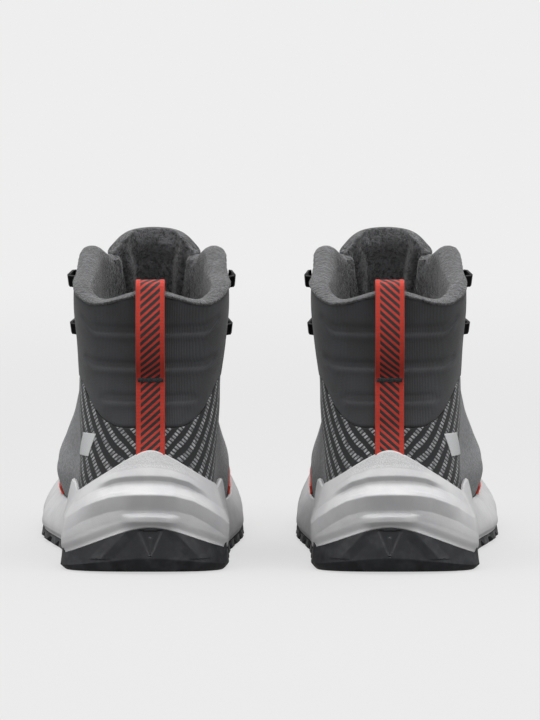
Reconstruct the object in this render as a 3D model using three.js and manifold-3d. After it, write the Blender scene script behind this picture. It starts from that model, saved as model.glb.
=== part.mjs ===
// A pair of mid-height hiking boots, as a three.js scene graph in millimetres, +Z up.
// The boots stand side by side, heels towards -Y and toes towards +Y. The origin is on the ground,
// at the middle of the pair. Every piece is modelled for the right boot, whose lateral (outer) side
// is +X, with its heel centre line at x = 0. The left boot is the same set of pieces, mirrored.

import * as THREE from "three";
import { mergeVertices } from "three/addons/utils/BufferGeometryUtils.js";
import Module from "manifold-3d";

const wasm = await Module();
wasm.setup();

// ---------------------------------------------------------------- overall sizes
const SOLE_LENGTH = 298;
const SOLE_WIDTH = 113; // across the ball of the foot
const COLLAR_HEIGHT = 150; // ground to the top of the collar at the heel
const BOOT_SPACING = 127; // between the two heel centre lines

// ---------------------------------------------------------------- sizes that stand alone
const CLEARANCE = 0.4; // between neighbouring pieces
const SOFT_GAP = 0.9; // between the upper's curved layers
const KNIT_THICKNESS = 1.4;
const STIFFENER_THICKNESS = 1.4; // heel counter and toe puff
const STIFFENER_GAP = 1.3; // knit to stiffener, filled by cement on the real boot
const LINING_THICKNESS = 1.3;
const COLLAR_PADDING = 5.6; // depth of the ankle padding inside the outer surface
const COLLAR_PUFF = 2.6; // how far the padding stands proud of the outer surface
const OVERLAY_THICKNESS = 1.2; // eyestays and forefoot band
const TOE_CAP_THICKNESS = 1.9;
const TONGUE_THICKNESS = 6.5;
const TONGUE_SIDE_GAP = 1.6; // tongue edge to throat edge
const GUSSET_THICKNESS = 1;
const CUP_GAP = 0.6; // between the foam wall and the upper
const CUP_WALL = 2.4; // foam wall at its top edge
const HEEL_STACK = 26; // ground to the lasting board under the heel
const BALL_STACK = 21; // and under the ball of the foot
const TOE_RISE = 14; // of the lasting board from the ball to the toe
const BOARD_THICKNESS = 1.3;
const FOOTBED_THICKNESS = 5;
const LUG_HEIGHT = 4;
const RUBBER_THICKNESS = 2.5;
const PLATE_THICKNESS = 1.3;
const RIM_WIDTH = 11; // tread rim around the edge of the outsole
const HEEL_PEAK = 64.7; // top of the foam at the back of the heel
const RUBBER_PEAK = 25; // top of the rubber at the back of the heel
const STRAP_WIDTH = 15.4;
const STRAP_THICKNESS = 1.4;
const STRAP_STAND_OFF = 7.5; // finger room behind the pull loop
const STRAP_TACK_HEIGHT = 103; // stitched bar where the pull loop begins
const LACE_PASSAGE = 4.6; // for the lace, inside a hook or a loop
const HOOK_WIDTH = 7;
const HOOK_PLATE = 1.2;
const LOOP_LENGTH = 8;
const LOOP_WALL = 1.2;

// The sections below are drawn on the pattern size, and grade with the overall sizes.
const PATTERN = { length: 298, width: 113, height: 150 };
const grade = {
  x: SOLE_WIDTH / PATTERN.width,
  y: SOLE_LENGTH / PATTERN.length,
  z: COLLAR_HEIGHT / PATTERN.height,
};

// ---------------------------------------------------------------- small helpers
const DEG = Math.PI / 180;
const lerp = THREE.MathUtils.lerp;
const clamp = THREE.MathUtils.clamp;
const vec = (x, y, z) => new THREE.Vector3(x, y, z);
const signOf = (s) => (s < 0 ? -1 : 1);

// 0 below a, 1 above b, and smooth between them.
function ease(a, b, x) {
  const t = clamp((x - a) / (b - a), 0, 1);
  return t * t * (3 - 2 * t);
}

// 0 at q = 0 and 1 at q = 1, rounded at the start and straight after it.
function roundedSlope(q, round) {
  return (Math.hypot(1, q / round) - 1) / (Math.hypot(1, 1 / round) - 1);
}

// A smooth line through [position, value] pairs.
function through(pairs, x) {
  const last = pairs.length - 1;
  let i = 0;
  while (i < last - 1 && x > pairs[i + 1][0]) i++;
  const [x0, a] = pairs[i];
  const [x1, b] = pairs[i + 1];
  return lerp(a, b, ease(x0, x1, x));
}

// The value of a rising function's argument where it reaches the target.
function solve(rising, target, low, high) {
  for (let i = 0; i < 40; i++) {
    const middle = (low + high) / 2;
    if (rising(middle) < target) low = middle;
    else high = middle;
  }
  return (low + high) / 2;
}

// ---------------------------------------------------------------- the sole's curves
const bevel = { start: 20 * grade.y, rise: 1.5 }; // heel edge lifts off the ground
const spring = { start: 190 * grade.y, rise: 20 }; // toe lifts off the ground
const SOLE = {
  rear: -9 * grade.y,
  front: 289 * grade.y,
  lateral: [48.5 * grade.x, 64 * grade.x],
  medial: [41.2 * grade.x, 49 * grade.x],
  ends: [31 * grade.y, 74 * grade.y],
  toeShift: 2 * grade.x,
};

// Height of the tread's lowest points at y.
function ground(y) {
  const back = clamp((bevel.start - y) / (bevel.start - SOLE.rear), 0, 1);
  const front = clamp((y - spring.start) / (SOLE.front - spring.start), 0, 1);
  return bevel.rise * back ** 2 + spring.rise * front ** 2;
}

// Height of the lasting board's underside at y.
function underfoot(y) {
  const s = y / grade.y;
  return lerp(HEEL_STACK, BALL_STACK, ease(40, 170, s)) + TOE_RISE * ease(190, 290, s);
}

// ---------------------------------------------------------------- the upper's surface
// Each section is a closed loop round the boot, from the sole upwards. Its columns are the y and z
// of its rear point, the y and z of its front point, its lateral half width at the heel and at the
// ball, the same on the medial side, the lengths of its rounded rear and front ends, the sideways
// shift of its front point, and how far it follows the curve of the lasting board.
const SECTION_TABLE = [
  [1, 27.5, 280, 36.5, 34, 50, 31, 40, 34, 62, 2, 1],
  [-2, 46, 284, 46, 39, 55, 33.5, 41.5, 37, 64, 2, 0.7],
  [0, 60, 274, 57, 38.5, 50, 34.5, 37.5, 38, 62, 2, 0.25],
  [3, 73, 222, 68, 38.5, 45, 35.5, 35.5, 39, 60, 2, 0],
  [6, 87, 183, 80, 39, 42, 36.5, 35.8, 41, 58, 1, 0],
  [7.5, 102, 155, 98, 39.2, 39, 37, 36.3, 43, 54, 0, 0],
  [7, 118, 138, 120, 40.5, 38, 39.6, 37.2, 45, 50, 0, 0],
  [4.5, 135, 128, 146, 43, 39, 42.4, 38.6, 46, 46, 0, 0],
  [1, 150, 122, 169, 44, 39, 43.4, 38.6, 48, 44, 0, 0],
  [-1, 165, 120, 187, 43.5, 38, 43, 37.6, 48, 42, 0, 0],
];
const { x: gx, y: gy, z: gz } = grade;
const SECTIONS = SECTION_TABLE.map((row) => ({
  rearY: row[0] * gy,
  rearZ: row[1] * gz,
  frontY: row[2] * gy,
  frontZ: row[3] * gz,
  lateralHeel: row[4] * gx,
  lateralBall: row[5] * gx,
  medialHeel: row[6] * gx,
  medialBall: row[7] * gx,
  rearEnd: row[8] * gy,
  frontEnd: row[9] * gy,
  toeShift: row[10] * gx,
  follow: row[11],
}));
const TOP_LEVEL = SECTIONS.length - 1;

// The section at a level from 0, at the sole, to TOP_LEVEL, above the collar.
function sectionAt(level) {
  const i = clamp(Math.floor(level), 0, TOP_LEVEL - 1);
  const t = level - i;
  const [a, b, c, d] = [i - 1, i, i + 1, i + 2].map((k) => SECTIONS[clamp(k, 0, TOP_LEVEL)]);
  const made = {};
  for (const key of Object.keys(b)) {
    const slopeIn = (c[key] - a[key]) / 2;
    const slopeOut = (d[key] - b[key]) / 2;
    const rise = c[key] - b[key];
    const cubic = slopeIn + slopeOut - 2 * rise;
    const square = 3 * rise - 2 * slopeIn - slopeOut;
    made[key] = b[key] + t * (slopeIn + t * (square + t * cubic));
  }
  return made;
}

// 0 at a loop's end and 1 once it is `length` away from it, along a quarter ellipse.
function roundEnd(distance, length) {
  const left = 1 - clamp(distance / length, 0, 1);
  return Math.sqrt(Math.max(0, 1 - left * left));
}

// A point of the upper's outer surface. u is the angle round the boot: 0 at the back of the heel,
// 180 degrees at the front, positive on the lateral side.
function surface(level, u) {
  const s = sectionAt(level);
  const t = (1 - Math.cos(u)) / 2;
  const y = lerp(s.rearY, s.frontY, t);
  const side = signOf(Math.sin(u));
  const heel = side > 0 ? s.lateralHeel : s.medialHeel;
  const ball = side > 0 ? s.lateralBall : s.medialBall;
  const ends = roundEnd(y - s.rearY, s.rearEnd) * roundEnd(s.frontY - y, s.frontEnd);
  const half = lerp(heel, ball, ease(0.12, 0.62, t)) * ends;
  const chord = lerp(underfoot(s.rearY), underfoot(s.frontY), t);
  const z = lerp(s.rearZ, s.frontZ, t) + s.follow * (underfoot(y) - chord);
  return vec(side * half + s.toeShift * ease(0.35, 1, t), y, z);
}

// The same point moved out along the surface's normal, or in if the offset is negative.
function skin(level, u, offset = 0) {
  const step = 0.02;
  const low = clamp(level - step, 0, TOP_LEVEL);
  const high = clamp(level + step, 0, TOP_LEVEL);
  const along = surface(level, u + step).sub(surface(level, u - step));
  const up = surface(high, u).sub(surface(low, u));
  const normal = along.cross(up).normalize();
  return surface(level, u).addScaledVector(normal, offset);
}

// The level at which the surface, at angle u, reaches height z.
const levelAt = (u, z) => solve((level) => surface(level, u).z, z, 0, TOP_LEVEL);

// ---------------------------------------------------------------- the throat, where the tongue shows
const THROAT_BOTTOM = 3.5;
const halfThroat = (level) =>
  through([[3, 11], [4, 14], [5, 17.5], [6, 20], [7, 22.5], [8, 25], [9, 25.5]], level) * grade.x;

// The angle at which a section's front part is `across` mm from its middle.
function frontAngle(level, across) {
  const middle = sectionAt(level).toeShift;
  const xAt = (w) => surface(level, w < 0 ? -Math.PI - w : Math.PI - w).x;
  const w = solve(xAt, middle + across, -100 * DEG, 100 * DEG);
  return w < 0 ? -Math.PI - w : Math.PI - w;
}

const throatEdge = (level, side) => frontAngle(level, side * halfThroat(level));

// ---------------------------------------------------------------- the collar's outline, as levels over u
const COLLAR_BACK = 3.3; // level of the padding's lower edge at the heel
const COLLAR_FRONT = 5.4; // and at the throat
const collarBottom = (u) => {
  const a = Math.abs(u) / DEG;
  const rise = 0.8 * ease(14, 60, a) + 0.2 * ease(60, 120, a);
  return lerp(COLLAR_BACK, COLLAR_FRONT, rise);
};
const collarTop = (u) =>
  through([[0, 7.93], [40, 7.4], [74, 7.72], [118, 8.1], [143, 7.68]], Math.abs(u) / DEG);

// How far the ankle padding stands proud, and where it thins out under the eyestays.
function collarPuff(level, u) {
  const up = clamp((level - collarBottom(u)) / (collarTop(u) - collarBottom(u)), 0, 1);
  const inFront = 1 - ease(78, 104, Math.abs(u) / DEG);
  return COLLAR_PUFF * inFront * Math.sqrt(Math.sin(Math.PI * clamp(up, 0.02, 0.98)));
}

// ---------------------------------------------------------------- layers, as offsets from the outer surface
const stiffenerTop = -KNIT_THICKNESS - STIFFENER_GAP;
const stiffenerBottom = stiffenerTop - STIFFENER_THICKNESS;
const liningTop = (level) =>
  -lerp(SOFT_GAP - stiffenerBottom, 1.5 * SOFT_GAP + COLLAR_PADDING, ease(2.4, 3.4, level));
const overlayBottom = CLEARANCE;
const overlayTop = overlayBottom + OVERLAY_THICKNESS;

// ---------------------------------------------------------------- solids from grids of points
// A closed geometry from points and triangles that index them, facing out.
function closed(points, triangles) {
  let volume = 0;
  for (const [a, b, c] of triangles) {
    volume += points[a].dot(points[b].clone().cross(points[c]));
  }
  const facing = volume < 0 ? triangles.map(([a, b, c]) => [a, c, b]) : triangles;
  const soup = new THREE.BufferGeometry().setFromPoints(facing.flat().map((k) => points[k]));
  const merged = mergeVertices(soup, 1e-3);
  const kept = [];
  for (let k = 0; k < merged.index.count; k += 3) {
    const [a, b, c] = [0, 1, 2].map((n) => merged.index.getX(k + n));
    if (a !== b && b !== c && c !== a) kept.push(a, b, c);
  }
  return merged.setIndex(kept);
}

// Two triangles for each cell of a grid whose points are given by number.
function gridTriangles(rows, columns, at, wrap = false) {
  const triangles = [];
  for (let i = 0; i < rows - 1; i++) {
    for (let j = 0; j < columns - (wrap ? 0 : 1); j++) {
      const next = (j + 1) % columns;
      triangles.push([at(i, j), at(i, next), at(i + 1, next)]);
      triangles.push([at(i, j), at(i + 1, next), at(i + 1, j)]);
    }
  }
  return triangles;
}

// A sheet with thickness: outer(a, b) and inner(a, b) give its two faces, for a and b from 0 to 1.
function sheet(columns, rows, outer, inner) {
  const points = [];
  for (const face of [outer, inner]) {
    for (let i = 0; i < rows; i++) {
      for (let j = 0; j < columns; j++) points.push(face(j / (columns - 1), i / (rows - 1)));
    }
  }
  const size = rows * columns;
  const front = (i, j) => i * columns + j;
  const back = (i, j) => size + i * columns + j;
  const triangles = gridTriangles(rows, columns, front);
  triangles.push(...gridTriangles(rows, columns, back).map(([a, b, c]) => [a, c, b]));
  const rim = [];
  for (let j = 0; j < columns - 1; j++) rim.push([0, j]);
  for (let i = 0; i < rows - 1; i++) rim.push([i, columns - 1]);
  for (let j = columns - 1; j > 0; j--) rim.push([rows - 1, j]);
  for (let i = rows - 1; i > 0; i--) rim.push([i, 0]);
  rim.forEach(([i, j], k) => {
    const [m, n] = rim[(k + 1) % rim.length];
    triangles.push([front(i, j), back(i, j), back(m, n)], [front(i, j), back(m, n), front(m, n)]);
  });
  return closed(points, triangles);
}

// A solid swept round the boot: profile(u) lists its points from the middle of the top face, over
// the edge, to the middle of the underside.
function swept(steps, profile) {
  const rings = [];
  for (let k = 0; k < steps; k++) rings.push(profile(-Math.PI + (2 * Math.PI * k) / steps));
  const count = rings[0].length;
  const at = (i, j) => j * count + i;
  return closed(rings.flat(), gridTriangles(count, steps, at, true));
}

// ---------------------------------------------------------------- joining and cutting
function toSolid(geometry) {
  const bare = new THREE.BufferGeometry().setAttribute("position", geometry.getAttribute("position"));
  const merged = mergeVertices(geometry.index ? bare.setIndex(geometry.index) : bare, 1e-3);
  return new wasm.Manifold(
    new wasm.Mesh({
      numProp: 3,
      vertProperties: merged.attributes.position.array,
      triVerts: new Uint32Array(merged.index.array),
    }),
  );
}

function toGeometry(solid) {
  const mesh = solid.getMesh();
  return new THREE.BufferGeometry()
    .setAttribute("position", new THREE.BufferAttribute(mesh.vertProperties, 3))
    .setIndex(new THREE.BufferAttribute(mesh.triVerts, 1));
}

// ---------------------------------------------------------------- the sole unit
// The point of the sole's middle line, in plan, that its edge at angle u is measured from.
function soleSpine(u) {
  const t = (1 - Math.cos(u)) / 2;
  const y = lerp(SOLE.rear, SOLE.front, t);
  const middle = (soleEdge(Math.abs(u)).x + soleEdge(-Math.abs(u)).x) / 2;
  return vec(middle, clamp(y, SOLE.rear + 44 * grade.y, SOLE.front - 62 * grade.y), 0);
}

// The sole's edge at angle u, in plan.
function soleEdge(u) {
  const t = (1 - Math.cos(u)) / 2;
  const y = lerp(SOLE.rear, SOLE.front, t);
  const side = signOf(Math.sin(u));
  const [heel, ball] = side > 0 ? SOLE.lateral : SOLE.medial;
  const ends = roundEnd(y - SOLE.rear, SOLE.ends[0]) * roundEnd(SOLE.front - y, SOLE.ends[1]);
  const half = lerp(heel, ball, ease(0.28, 0.62, t)) * ends;
  return vec(side * half + SOLE.toeShift * ease(0.5, 1, t), y, 0);
}

// The plan point a share of the way, or all but `inset` mm of it, from the sole's middle to its edge.
function solePoint(u, { share, inset = 0 }, height) {
  const middle = soleSpine(u);
  const edge = soleEdge(u);
  const part = share ?? 1 - inset / edge.distanceTo(middle);
  const p = middle.lerp(edge, part);
  p.z = height(p.y);
  return p;
}

// Top of the rubber and top of the foam wall, as heights over u.
function rubberTop(u) {
  const edge = soleEdge(u);
  const side = RUBBER_PEAK - 16.5 * roundedSlope(Math.abs(edge.x) / SOLE.lateral[0], 0.3);
  const low = ground(edge.y) + LUG_HEIGHT + 1.5;
  return Math.max(low, lerp(side, low, ease(10, 45, edge.y / grade.y)));
}

function foamTop(u) {
  const edge = surface(1.5, u);
  const y = edge.y / grade.y;
  const wall = underfoot(edge.y) + 3.5;
  const peak = HEEL_PEAK - 23.5 * roundedSlope(Math.abs(edge.x) / (37 * grade.x), 0.25);
  const shoulder = wall + 11.5 * (1 - ease(35, 85, y));
  const fin = 9 * ease(44, 58, y) * (1 - ease(59, 74, y));
  return lerp(peak, shoulder, ease(22, 38, y)) + fin;
}

const outsoleTop = (y) => ground(y) + LUG_HEIGHT + RUBBER_THICKNESS;
const plateShare = 0.78; // how far the plate reaches from the sole's middle towards its edge
const SOLE_STEPS = 48; // round the sole
const plateTop = (y) => outsoleTop(y) + CLEARANCE + PLATE_THICKNESS;

// The face where rubber and foam meet, from the middle out, with the rubber's edge turned up.
function bondLine(u, gap) {
  const rise = (share) => (y) => lerp(plateTop(y), Math.max(plateTop(y), rubberTop(u)), share) + gap;
  return [
    solePoint(u, { share: plateShare + 0.04 }, rise(0)),
    solePoint(u, { inset: 6 + gap }, rise(0.15)),
    solePoint(u, { inset: 3.2 + gap }, rise(0.6)),
    solePoint(u, { inset: 0.8 }, rise(1)),
  ];
}

// The rubber outsole: a rim and lugs on the ground round a recess, with its edge turned up.
function outsole() {
  const tread = swept(SOLE_STEPS, (u) => [
    solePoint(u, { share: 0 }, outsoleTop),
    solePoint(u, { share: plateShare + 0.02 }, outsoleTop),
    ...bondLine(u, 0),
    solePoint(u, { inset: 0.3 }, (y) => lerp(ground(y), rubberTop(u), 0.5)),
    solePoint(u, { inset: 2 }, ground),
    solePoint(u, { inset: RIM_WIDTH }, ground),
    solePoint(u, { inset: RIM_WIDTH + 1.5 }, (y) => ground(y) + LUG_HEIGHT),
    solePoint(u, { share: 0 }, (y) => ground(y) + LUG_HEIGHT),
  ]);
  let solid = toSolid(tread);
  for (const lug of lugs()) solid = solid.add(toSolid(lug));
  return toGeometry(solid);
}

// Chevron lugs inside the tread's rim, pointing forwards at the ball and backwards at the heel.
const LUG_ROWS = [
  { y: 34, reach: 20, aim: -1 },
  { y: 56, reach: 20, aim: -1 },
  { y: 150, reach: 26, aim: 1 },
  { y: 172, reach: 30, aim: 1 },
  { y: 196, reach: 30, aim: 1 },
  { y: 220, reach: 26, aim: 1 },
];
const LUG_BAR = 8;

function lugs() {
  return LUG_ROWS.map(({ y, reach, aim }) => {
    const middle = soleSpine(Math.acos(1 - (2 * (y * grade.y - SOLE.rear)) / (SOLE.front - SOLE.rear)));
    const wing = reach * grade.x;
    const outline = [
      [-wing, -aim * 7], [0, aim * 3], [wing, -aim * 7],
      [wing, -aim * 7 + LUG_BAR], [0, aim * 3 + LUG_BAR], [-wing, -aim * 7 + LUG_BAR],
    ];
    const place = (heightAt) => ([x, along]) => {
      const at = vec(middle.x + x, y * grade.y + along - LUG_BAR / 2, 0);
      at.z = heightAt(at.y);
      return at;
    };
    const bottom = outline.map(place(ground));
    const top = outline.map(place((at) => ground(at) + LUG_HEIGHT + 1));
    const faces = [[0, 1, 4], [0, 4, 5], [1, 2, 3], [1, 3, 4]];
    const triangles = faces.map(([a, b, c]) => [a, c, b]);
    triangles.push(...faces.map(([a, b, c]) => [a + 6, b + 6, c + 6]));
    for (let k = 0; k < 6; k++) {
      const n = (k + 1) % 6;
      triangles.push([k, n, n + 6], [k, n + 6, k + 6]);
    }
    return closed([...bottom, ...top], triangles);
  });
}

// A stiff plate between rubber and foam.
function rockerPlate() {
  return swept(SOLE_STEPS, (u) => {
    const low = (y) => outsoleTop(y) + CLEARANCE;
    return [
      solePoint(u, { share: 0 }, plateTop),
      solePoint(u, { share: plateShare }, plateTop),
      solePoint(u, { share: plateShare }, low),
      solePoint(u, { share: 0 }, low),
    ];
  });
}

// The foam midsole, which cups the upper and rises in a peak at the heel and a fin on each side.
function midsole() {
  const floor = (y) => underfoot(y) - CLEARANCE;
  const under = (y) => plateTop(y) + CLEARANCE;
  return swept(SOLE_STEPS, (u) => {
    const top = foamTop(u);
    const bottom = rubberTop(u) + CLEARANCE;
    const topLevel = levelAt(u, top);
    const crest = skin(topLevel, u, CUP_GAP + CUP_WALL);
    const edge = solePoint(u, { inset: 0.4 }, () => lerp(bottom, top, 0.66));
    const belly = edge.lerp(crest.clone().setZ(edge.z), 0.4);
    const cup = [1, 0.75, 0.5, 0.25, 0].map((share) =>
      skin(topLevel * share, u, CUP_GAP + 0.4 * Math.sin(Math.PI * share)),
    );
    const corner = surface(0, u);
    const middle = soleSpine(u);
    return [
      vec(middle.x, middle.y, under(middle.y)),
      solePoint(u, { share: plateShare }, under),
      ...bondLine(u, CLEARANCE),
      solePoint(u, { inset: 0 }, () => lerp(bottom, top, 0.3)),
      belly,
      crest,
      ...cup,
      corner.setZ(floor(corner.y)),
      vec(middle.x, middle.y, floor(middle.y)),
    ];
  });
}

// A pad that follows the underfoot curve, `inset` mm inside the upper's lower edge.
function insolePad(inset, low, high, cup = 0) {
  return swept(SOLE_STEPS / 2, (u) => {
    const edge = surface(0, u);
    const middle = soleSpine(u).setZ(edge.z);
    const rim = edge.lerp(middle, inset / edge.distanceTo(middle));
    const at = (share, height, lift = 0) => {
      const p = middle.clone().lerp(rim, share);
      return p.setZ(height(p.y) + lift);
    };
    const across = [0, 0.5, 0.85];
    return [
      ...across.map((share) => at(share, high)),
      at(1, high, cup),
      at(1, low),
      ...across.reverse().map((share) => at(share, low)),
    ];
  });
}

const boardTop = (y) => underfoot(y) + BOARD_THICKNESS;
const footbedInset = -liningTop(0) + LINING_THICKNESS + 1;
const footbedBottom = (y) => boardTop(y) + CLEARANCE;
const footbedTop = (y) => footbedBottom(y) + FOOTBED_THICKNESS;
const lastingBoard = () => insolePad(1, underfoot, boardTop);
const footbed = () => insolePad(footbedInset, footbedBottom, footbedTop, 3);

// ---------------------------------------------------------------- the upper's shells
const LOW_LEVEL = 0.12; // the upper's lower edge, just above the lasting board
const SEAM = 92 * DEG; // where the vamp meets the quarters at the sole
const SEAM_GAP = 0.6 * DEG; // each side of a seam, round the boot
const LEVEL_GAP = 0.04; // and across a seam, in levels

const QUARTER_FRONT = COLLAR_FRONT - LEVEL_GAP; // where a quarter's top edge meets the throat
const SIDE_COLUMNS = 15; // from the heel to the throat, in the quarters and the collar
const backwards = (a) => a ** 1.15; // columns closer together round the heel

// The seam sweeps forwards from the sole to the throat's lower corner.
const seamAngle = (level, side) =>
  lerp(SEAM, Math.abs(throatEdge(THROAT_BOTTOM, side)), level / THROAT_BOTTOM);

// One quarter: the knitted side panel, from the seam at the back to the vamp and the throat edge.
function quarter(side) {
  const frontEdge = (level) =>
    level < THROAT_BOTTOM ? seamAngle(level, side) : Math.abs(throatEdge(level, side));
  const place = (offset) => (a, b) => {
    const frontLevel = lerp(LOW_LEVEL, QUARTER_FRONT, b);
    const front = frontEdge(frontLevel) - SEAM_GAP;
    const levelOn = (angle) => lerp(LOW_LEVEL, collarBottom(angle) - LEVEL_GAP, b);
    const angle = lerp(SEAM_GAP, front, backwards(a));
    const level = levelOn(angle) + (frontLevel - levelOn(front)) * a ** 2;
    return skin(level, side * angle, offset);
  };
  return sheet(SIDE_COLUMNS, 12, place(0), place(-KNIT_THICKNESS));
}

// The knitted panel over the toes, up to the lower end of the throat.
function vamp() {
  const place = (offset) => (a, b) => {
    const level = lerp(LOW_LEVEL, THROAT_BOTTOM - LEVEL_GAP, b);
    const start = seamAngle(level, 1) + SEAM_GAP;
    const end = 2 * Math.PI - seamAngle(level, -1) - SEAM_GAP;
    return skin(level, lerp(start, end, a), offset);
  };
  return sheet(19, 9, place(0), place(-KNIT_THICKNESS));
}

// A strip round the toe, from an angle on the lateral side to the same on the medial side.
function toeStrip(columns, rows, from, low, high, top, bottom) {
  const place = (offset) => (a, b) => {
    const u = lerp(from, 2 * Math.PI - from, a);
    return skin(lerp(low(u), high(u), b), u, offset);
  };
  return sheet(columns, rows, place(top), place(bottom));
}

const BAND_HEIGHT = 4.5;
const bandLow = (u) => levelAt(u, foamTop(u) + 2 * CLEARANCE);
const bandHigh = (u) => levelAt(u, foamTop(u) + 2 * CLEARANCE + BAND_HEIGHT);
const forefootBand = () =>
  toeStrip(25, 2, 98 * DEG, bandLow, bandHigh, overlayTop, overlayBottom);

// A rubber cap over the toe, highest at the front.
function toeCap() {
  const low = (u) => bandHigh(u) + 0.08;
  const high = (u) => 2.5 - 0.6 * Math.cos(u / 2) ** 2;
  return toeStrip(17, 5, 138 * DEG, low, high, SOFT_GAP + TOE_CAP_THICKNESS, SOFT_GAP);
}

// A stiff insert that cups the heel, between the knit and the lining.
function heelCounter() {
  const place = (offset) => (a, b) =>
    skin(lerp(0.2, 2.3 - 0.9 * (2 * a - 1) ** 2, b), lerp(-62, 62, a) * DEG, offset);
  return sheet(17, 6, place(stiffenerTop), place(stiffenerBottom));
}

// The same inside the toe.
const toePuff = () =>
  toeStrip(13, 5, 146 * DEG, () => 0.3, () => 2.45, stiffenerTop, stiffenerBottom);

// The padded collar, round the back of the ankle from one throat edge to the other.
function ankleCollar() {
  const at = (a, b, proud) => {
    const side = signOf(a - 0.5);
    const share = side * backwards(Math.abs(2 * a - 1));
    const frontLevel = lerp(COLLAR_FRONT, 7.65, b);
    const u = share * Math.abs(throatEdge(frontLevel, side));
    const level = lerp(collarBottom(u), collarTop(u), b);
    return skin(level, u, proud ? collarPuff(level, u) : -COLLAR_PADDING);
  };
  const columns = 2 * SIDE_COLUMNS - 1;
  return sheet(columns, 9, (a, b) => at(a, b, true), (a, b) => at(a, b, false));
}

// The bootie lining: one sleeve from toe to collar, open at the throat.
function lining() {
  const ring = (inward) => (a, b) => {
    const u = lerp(-Math.PI, Math.PI, a);
    const level = lerp(LOW_LEVEL, collarTop(u) - 0.05, b ** 1.3);
    return skin(level, u, liningTop(level) - (inward ? LINING_THICKNESS : 0));
  };
  const columns = 32;
  const rows = 10;
  const points = [];
  for (const inward of [false, true]) {
    for (let i = 0; i < rows; i++) {
      for (let j = 0; j < columns; j++) points.push(ring(inward)(j / columns, i / (rows - 1)));
    }
  }
  const outer = (i, j) => i * columns + j;
  const inner = (i, j) => rows * columns + outer(i, j);
  const triangles = gridTriangles(rows, columns, outer, true);
  triangles.push(...gridTriangles(rows, columns, inner, true).map(([a, b, c]) => [a, c, b]));
  for (const i of [0, rows - 1]) {
    for (let j = 0; j < columns; j++) {
      const n = (j + 1) % columns;
      const corners = [outer(i, j), outer(i, n), inner(i, n), inner(i, j)];
      const [p, q, r, s] = i ? corners : [...corners].reverse();
      triangles.push([p, q, r], [p, r, s]);
    }
  }
  const sleeve = toSolid(closed(points, triangles));
  const opening = (offset) => (a, b) => {
    const level = lerp(THROAT_BOTTOM + 0.1, TOP_LEVEL, b);
    return skin(level, frontAngle(level, (2 * a - 1) * halfThroat(level)), offset);
  };
  return toGeometry(sleeve.subtract(toSolid(sheet(3, 6, opening(6), opening(-16)))));
}

// ---------------------------------------------------------------- the tongue
const TONGUE_BOTTOM = THROAT_BOTTOM - 0.12; // its lower end is sewn under the vamp's edge
const TONGUE_TOP = 8.4;
const TONGUE_REST = -0.6; // offset of its outer face once it is clear of the vamp
const tongueFree = (level) => ease(THROAT_BOTTOM, THROAT_BOTTOM + 0.5, level);

// The padded tongue: thin under the vamp, full where it is clear of it, with rolled sides.
function tongue() {
  const place = (inner) => (a, b) => {
    const s = 2 * a - 1;
    const corner = 1 - 0.28 * ease(0.86, 1, b) ** 2; // rounded upper corners
    const level = lerp(TONGUE_BOTTOM, TONGUE_TOP - 0.16 * b * s * s, b);
    const across = s * (halfThroat(level) - TONGUE_SIDE_GAP) * corner;
    const face = lerp(-KNIT_THICKNESS - CLEARANCE, TONGUE_REST, tongueFree(level));
    const crown = 0.45 + 0.55 * Math.sqrt(1 - 0.9 * s * s);
    const depth = TONGUE_THICKNESS * lerp(0.5, crown, tongueFree(level));
    return skin(level, frontAngle(level, across), inner ? face - depth : face);
  };
  return sheet(9, 12, place(false), place(true));
}

// The bellows sheet behind the tongue, which joins its edges to the lining.
function tongueGusset() {
  const top = TONGUE_REST - TONGUE_THICKNESS - SOFT_GAP - LINING_THICKNESS;
  const place = (offset) => (a, b) => {
    const level = lerp(THROAT_BOTTOM + 0.3, 6.6, b);
    return skin(level, frontAngle(level, (2 * a - 1) * (halfThroat(level) + 6)), offset);
  };
  return sheet(7, 7, place(top), place(top - GUSSET_THICKNESS));
}

// ---------------------------------------------------------------- eyestays, loops and hooks
const EYESTAY_SETBACK = 0.6; // from the throat's edge
const eyestayWidth = (b) => through([[0, 12], [0.25, 16], [0.6, 25], [0.8, 30], [1, 30]], b);
const EYESTAY_TOP = 7.5; // level of its upper end

// The angle `distance` mm back from the throat edge, measured along the surface.
function backFromEdge(level, side, distance) {
  const edge = throatEdge(level, side);
  const step = 2 * DEG;
  let u = edge;
  let walked = 0;
  while (walked < distance) {
    const next = u - side * step;
    const length = surface(level, u).distanceTo(surface(level, next));
    if (walked + length >= distance) return lerp(u, next, (distance - walked) / length);
    walked += length;
    u = next;
  }
  return u;
}

// The strip along the throat's edge that carries the lace hardware.
function eyestay(side) {
  const place = (offset) => (a, b) => {
    const level = lerp(THROAT_BOTTOM + 0.15, EYESTAY_TOP, b);
    return skin(level, backFromEdge(level, side, EYESTAY_SETBACK + a * eyestayWidth(b)), offset);
  };
  return sheet(6, 15, place(overlayTop), place(overlayBottom));
}

const LOOP_LEVELS = [3.95, 4.65, 5.35];
const HOOK_LEVELS = [6.1, 7.25];
const LOOP_SETBACK = 4.6; // throat edge to the middle of a loop
const HOOK_SETBACK = 22;

// Directions on the eyestay: up along the throat, back from its edge, and out of the surface.
function seat(level, side, setback) {
  const u = backFromEdge(level, side, setback);
  const origin = skin(level, u, overlayTop + CLEARANCE);
  const out = skin(level, u, 1).sub(skin(level, u, 0)).normalize();
  const ahead = skin(level + 0.1, backFromEdge(level + 0.1, side, setback), 0);
  const up = ahead.sub(skin(level, u, 0)).normalize();
  const back = up.clone().cross(out).multiplyScalar(side).normalize();
  return { origin, out, up, back };
}

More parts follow.
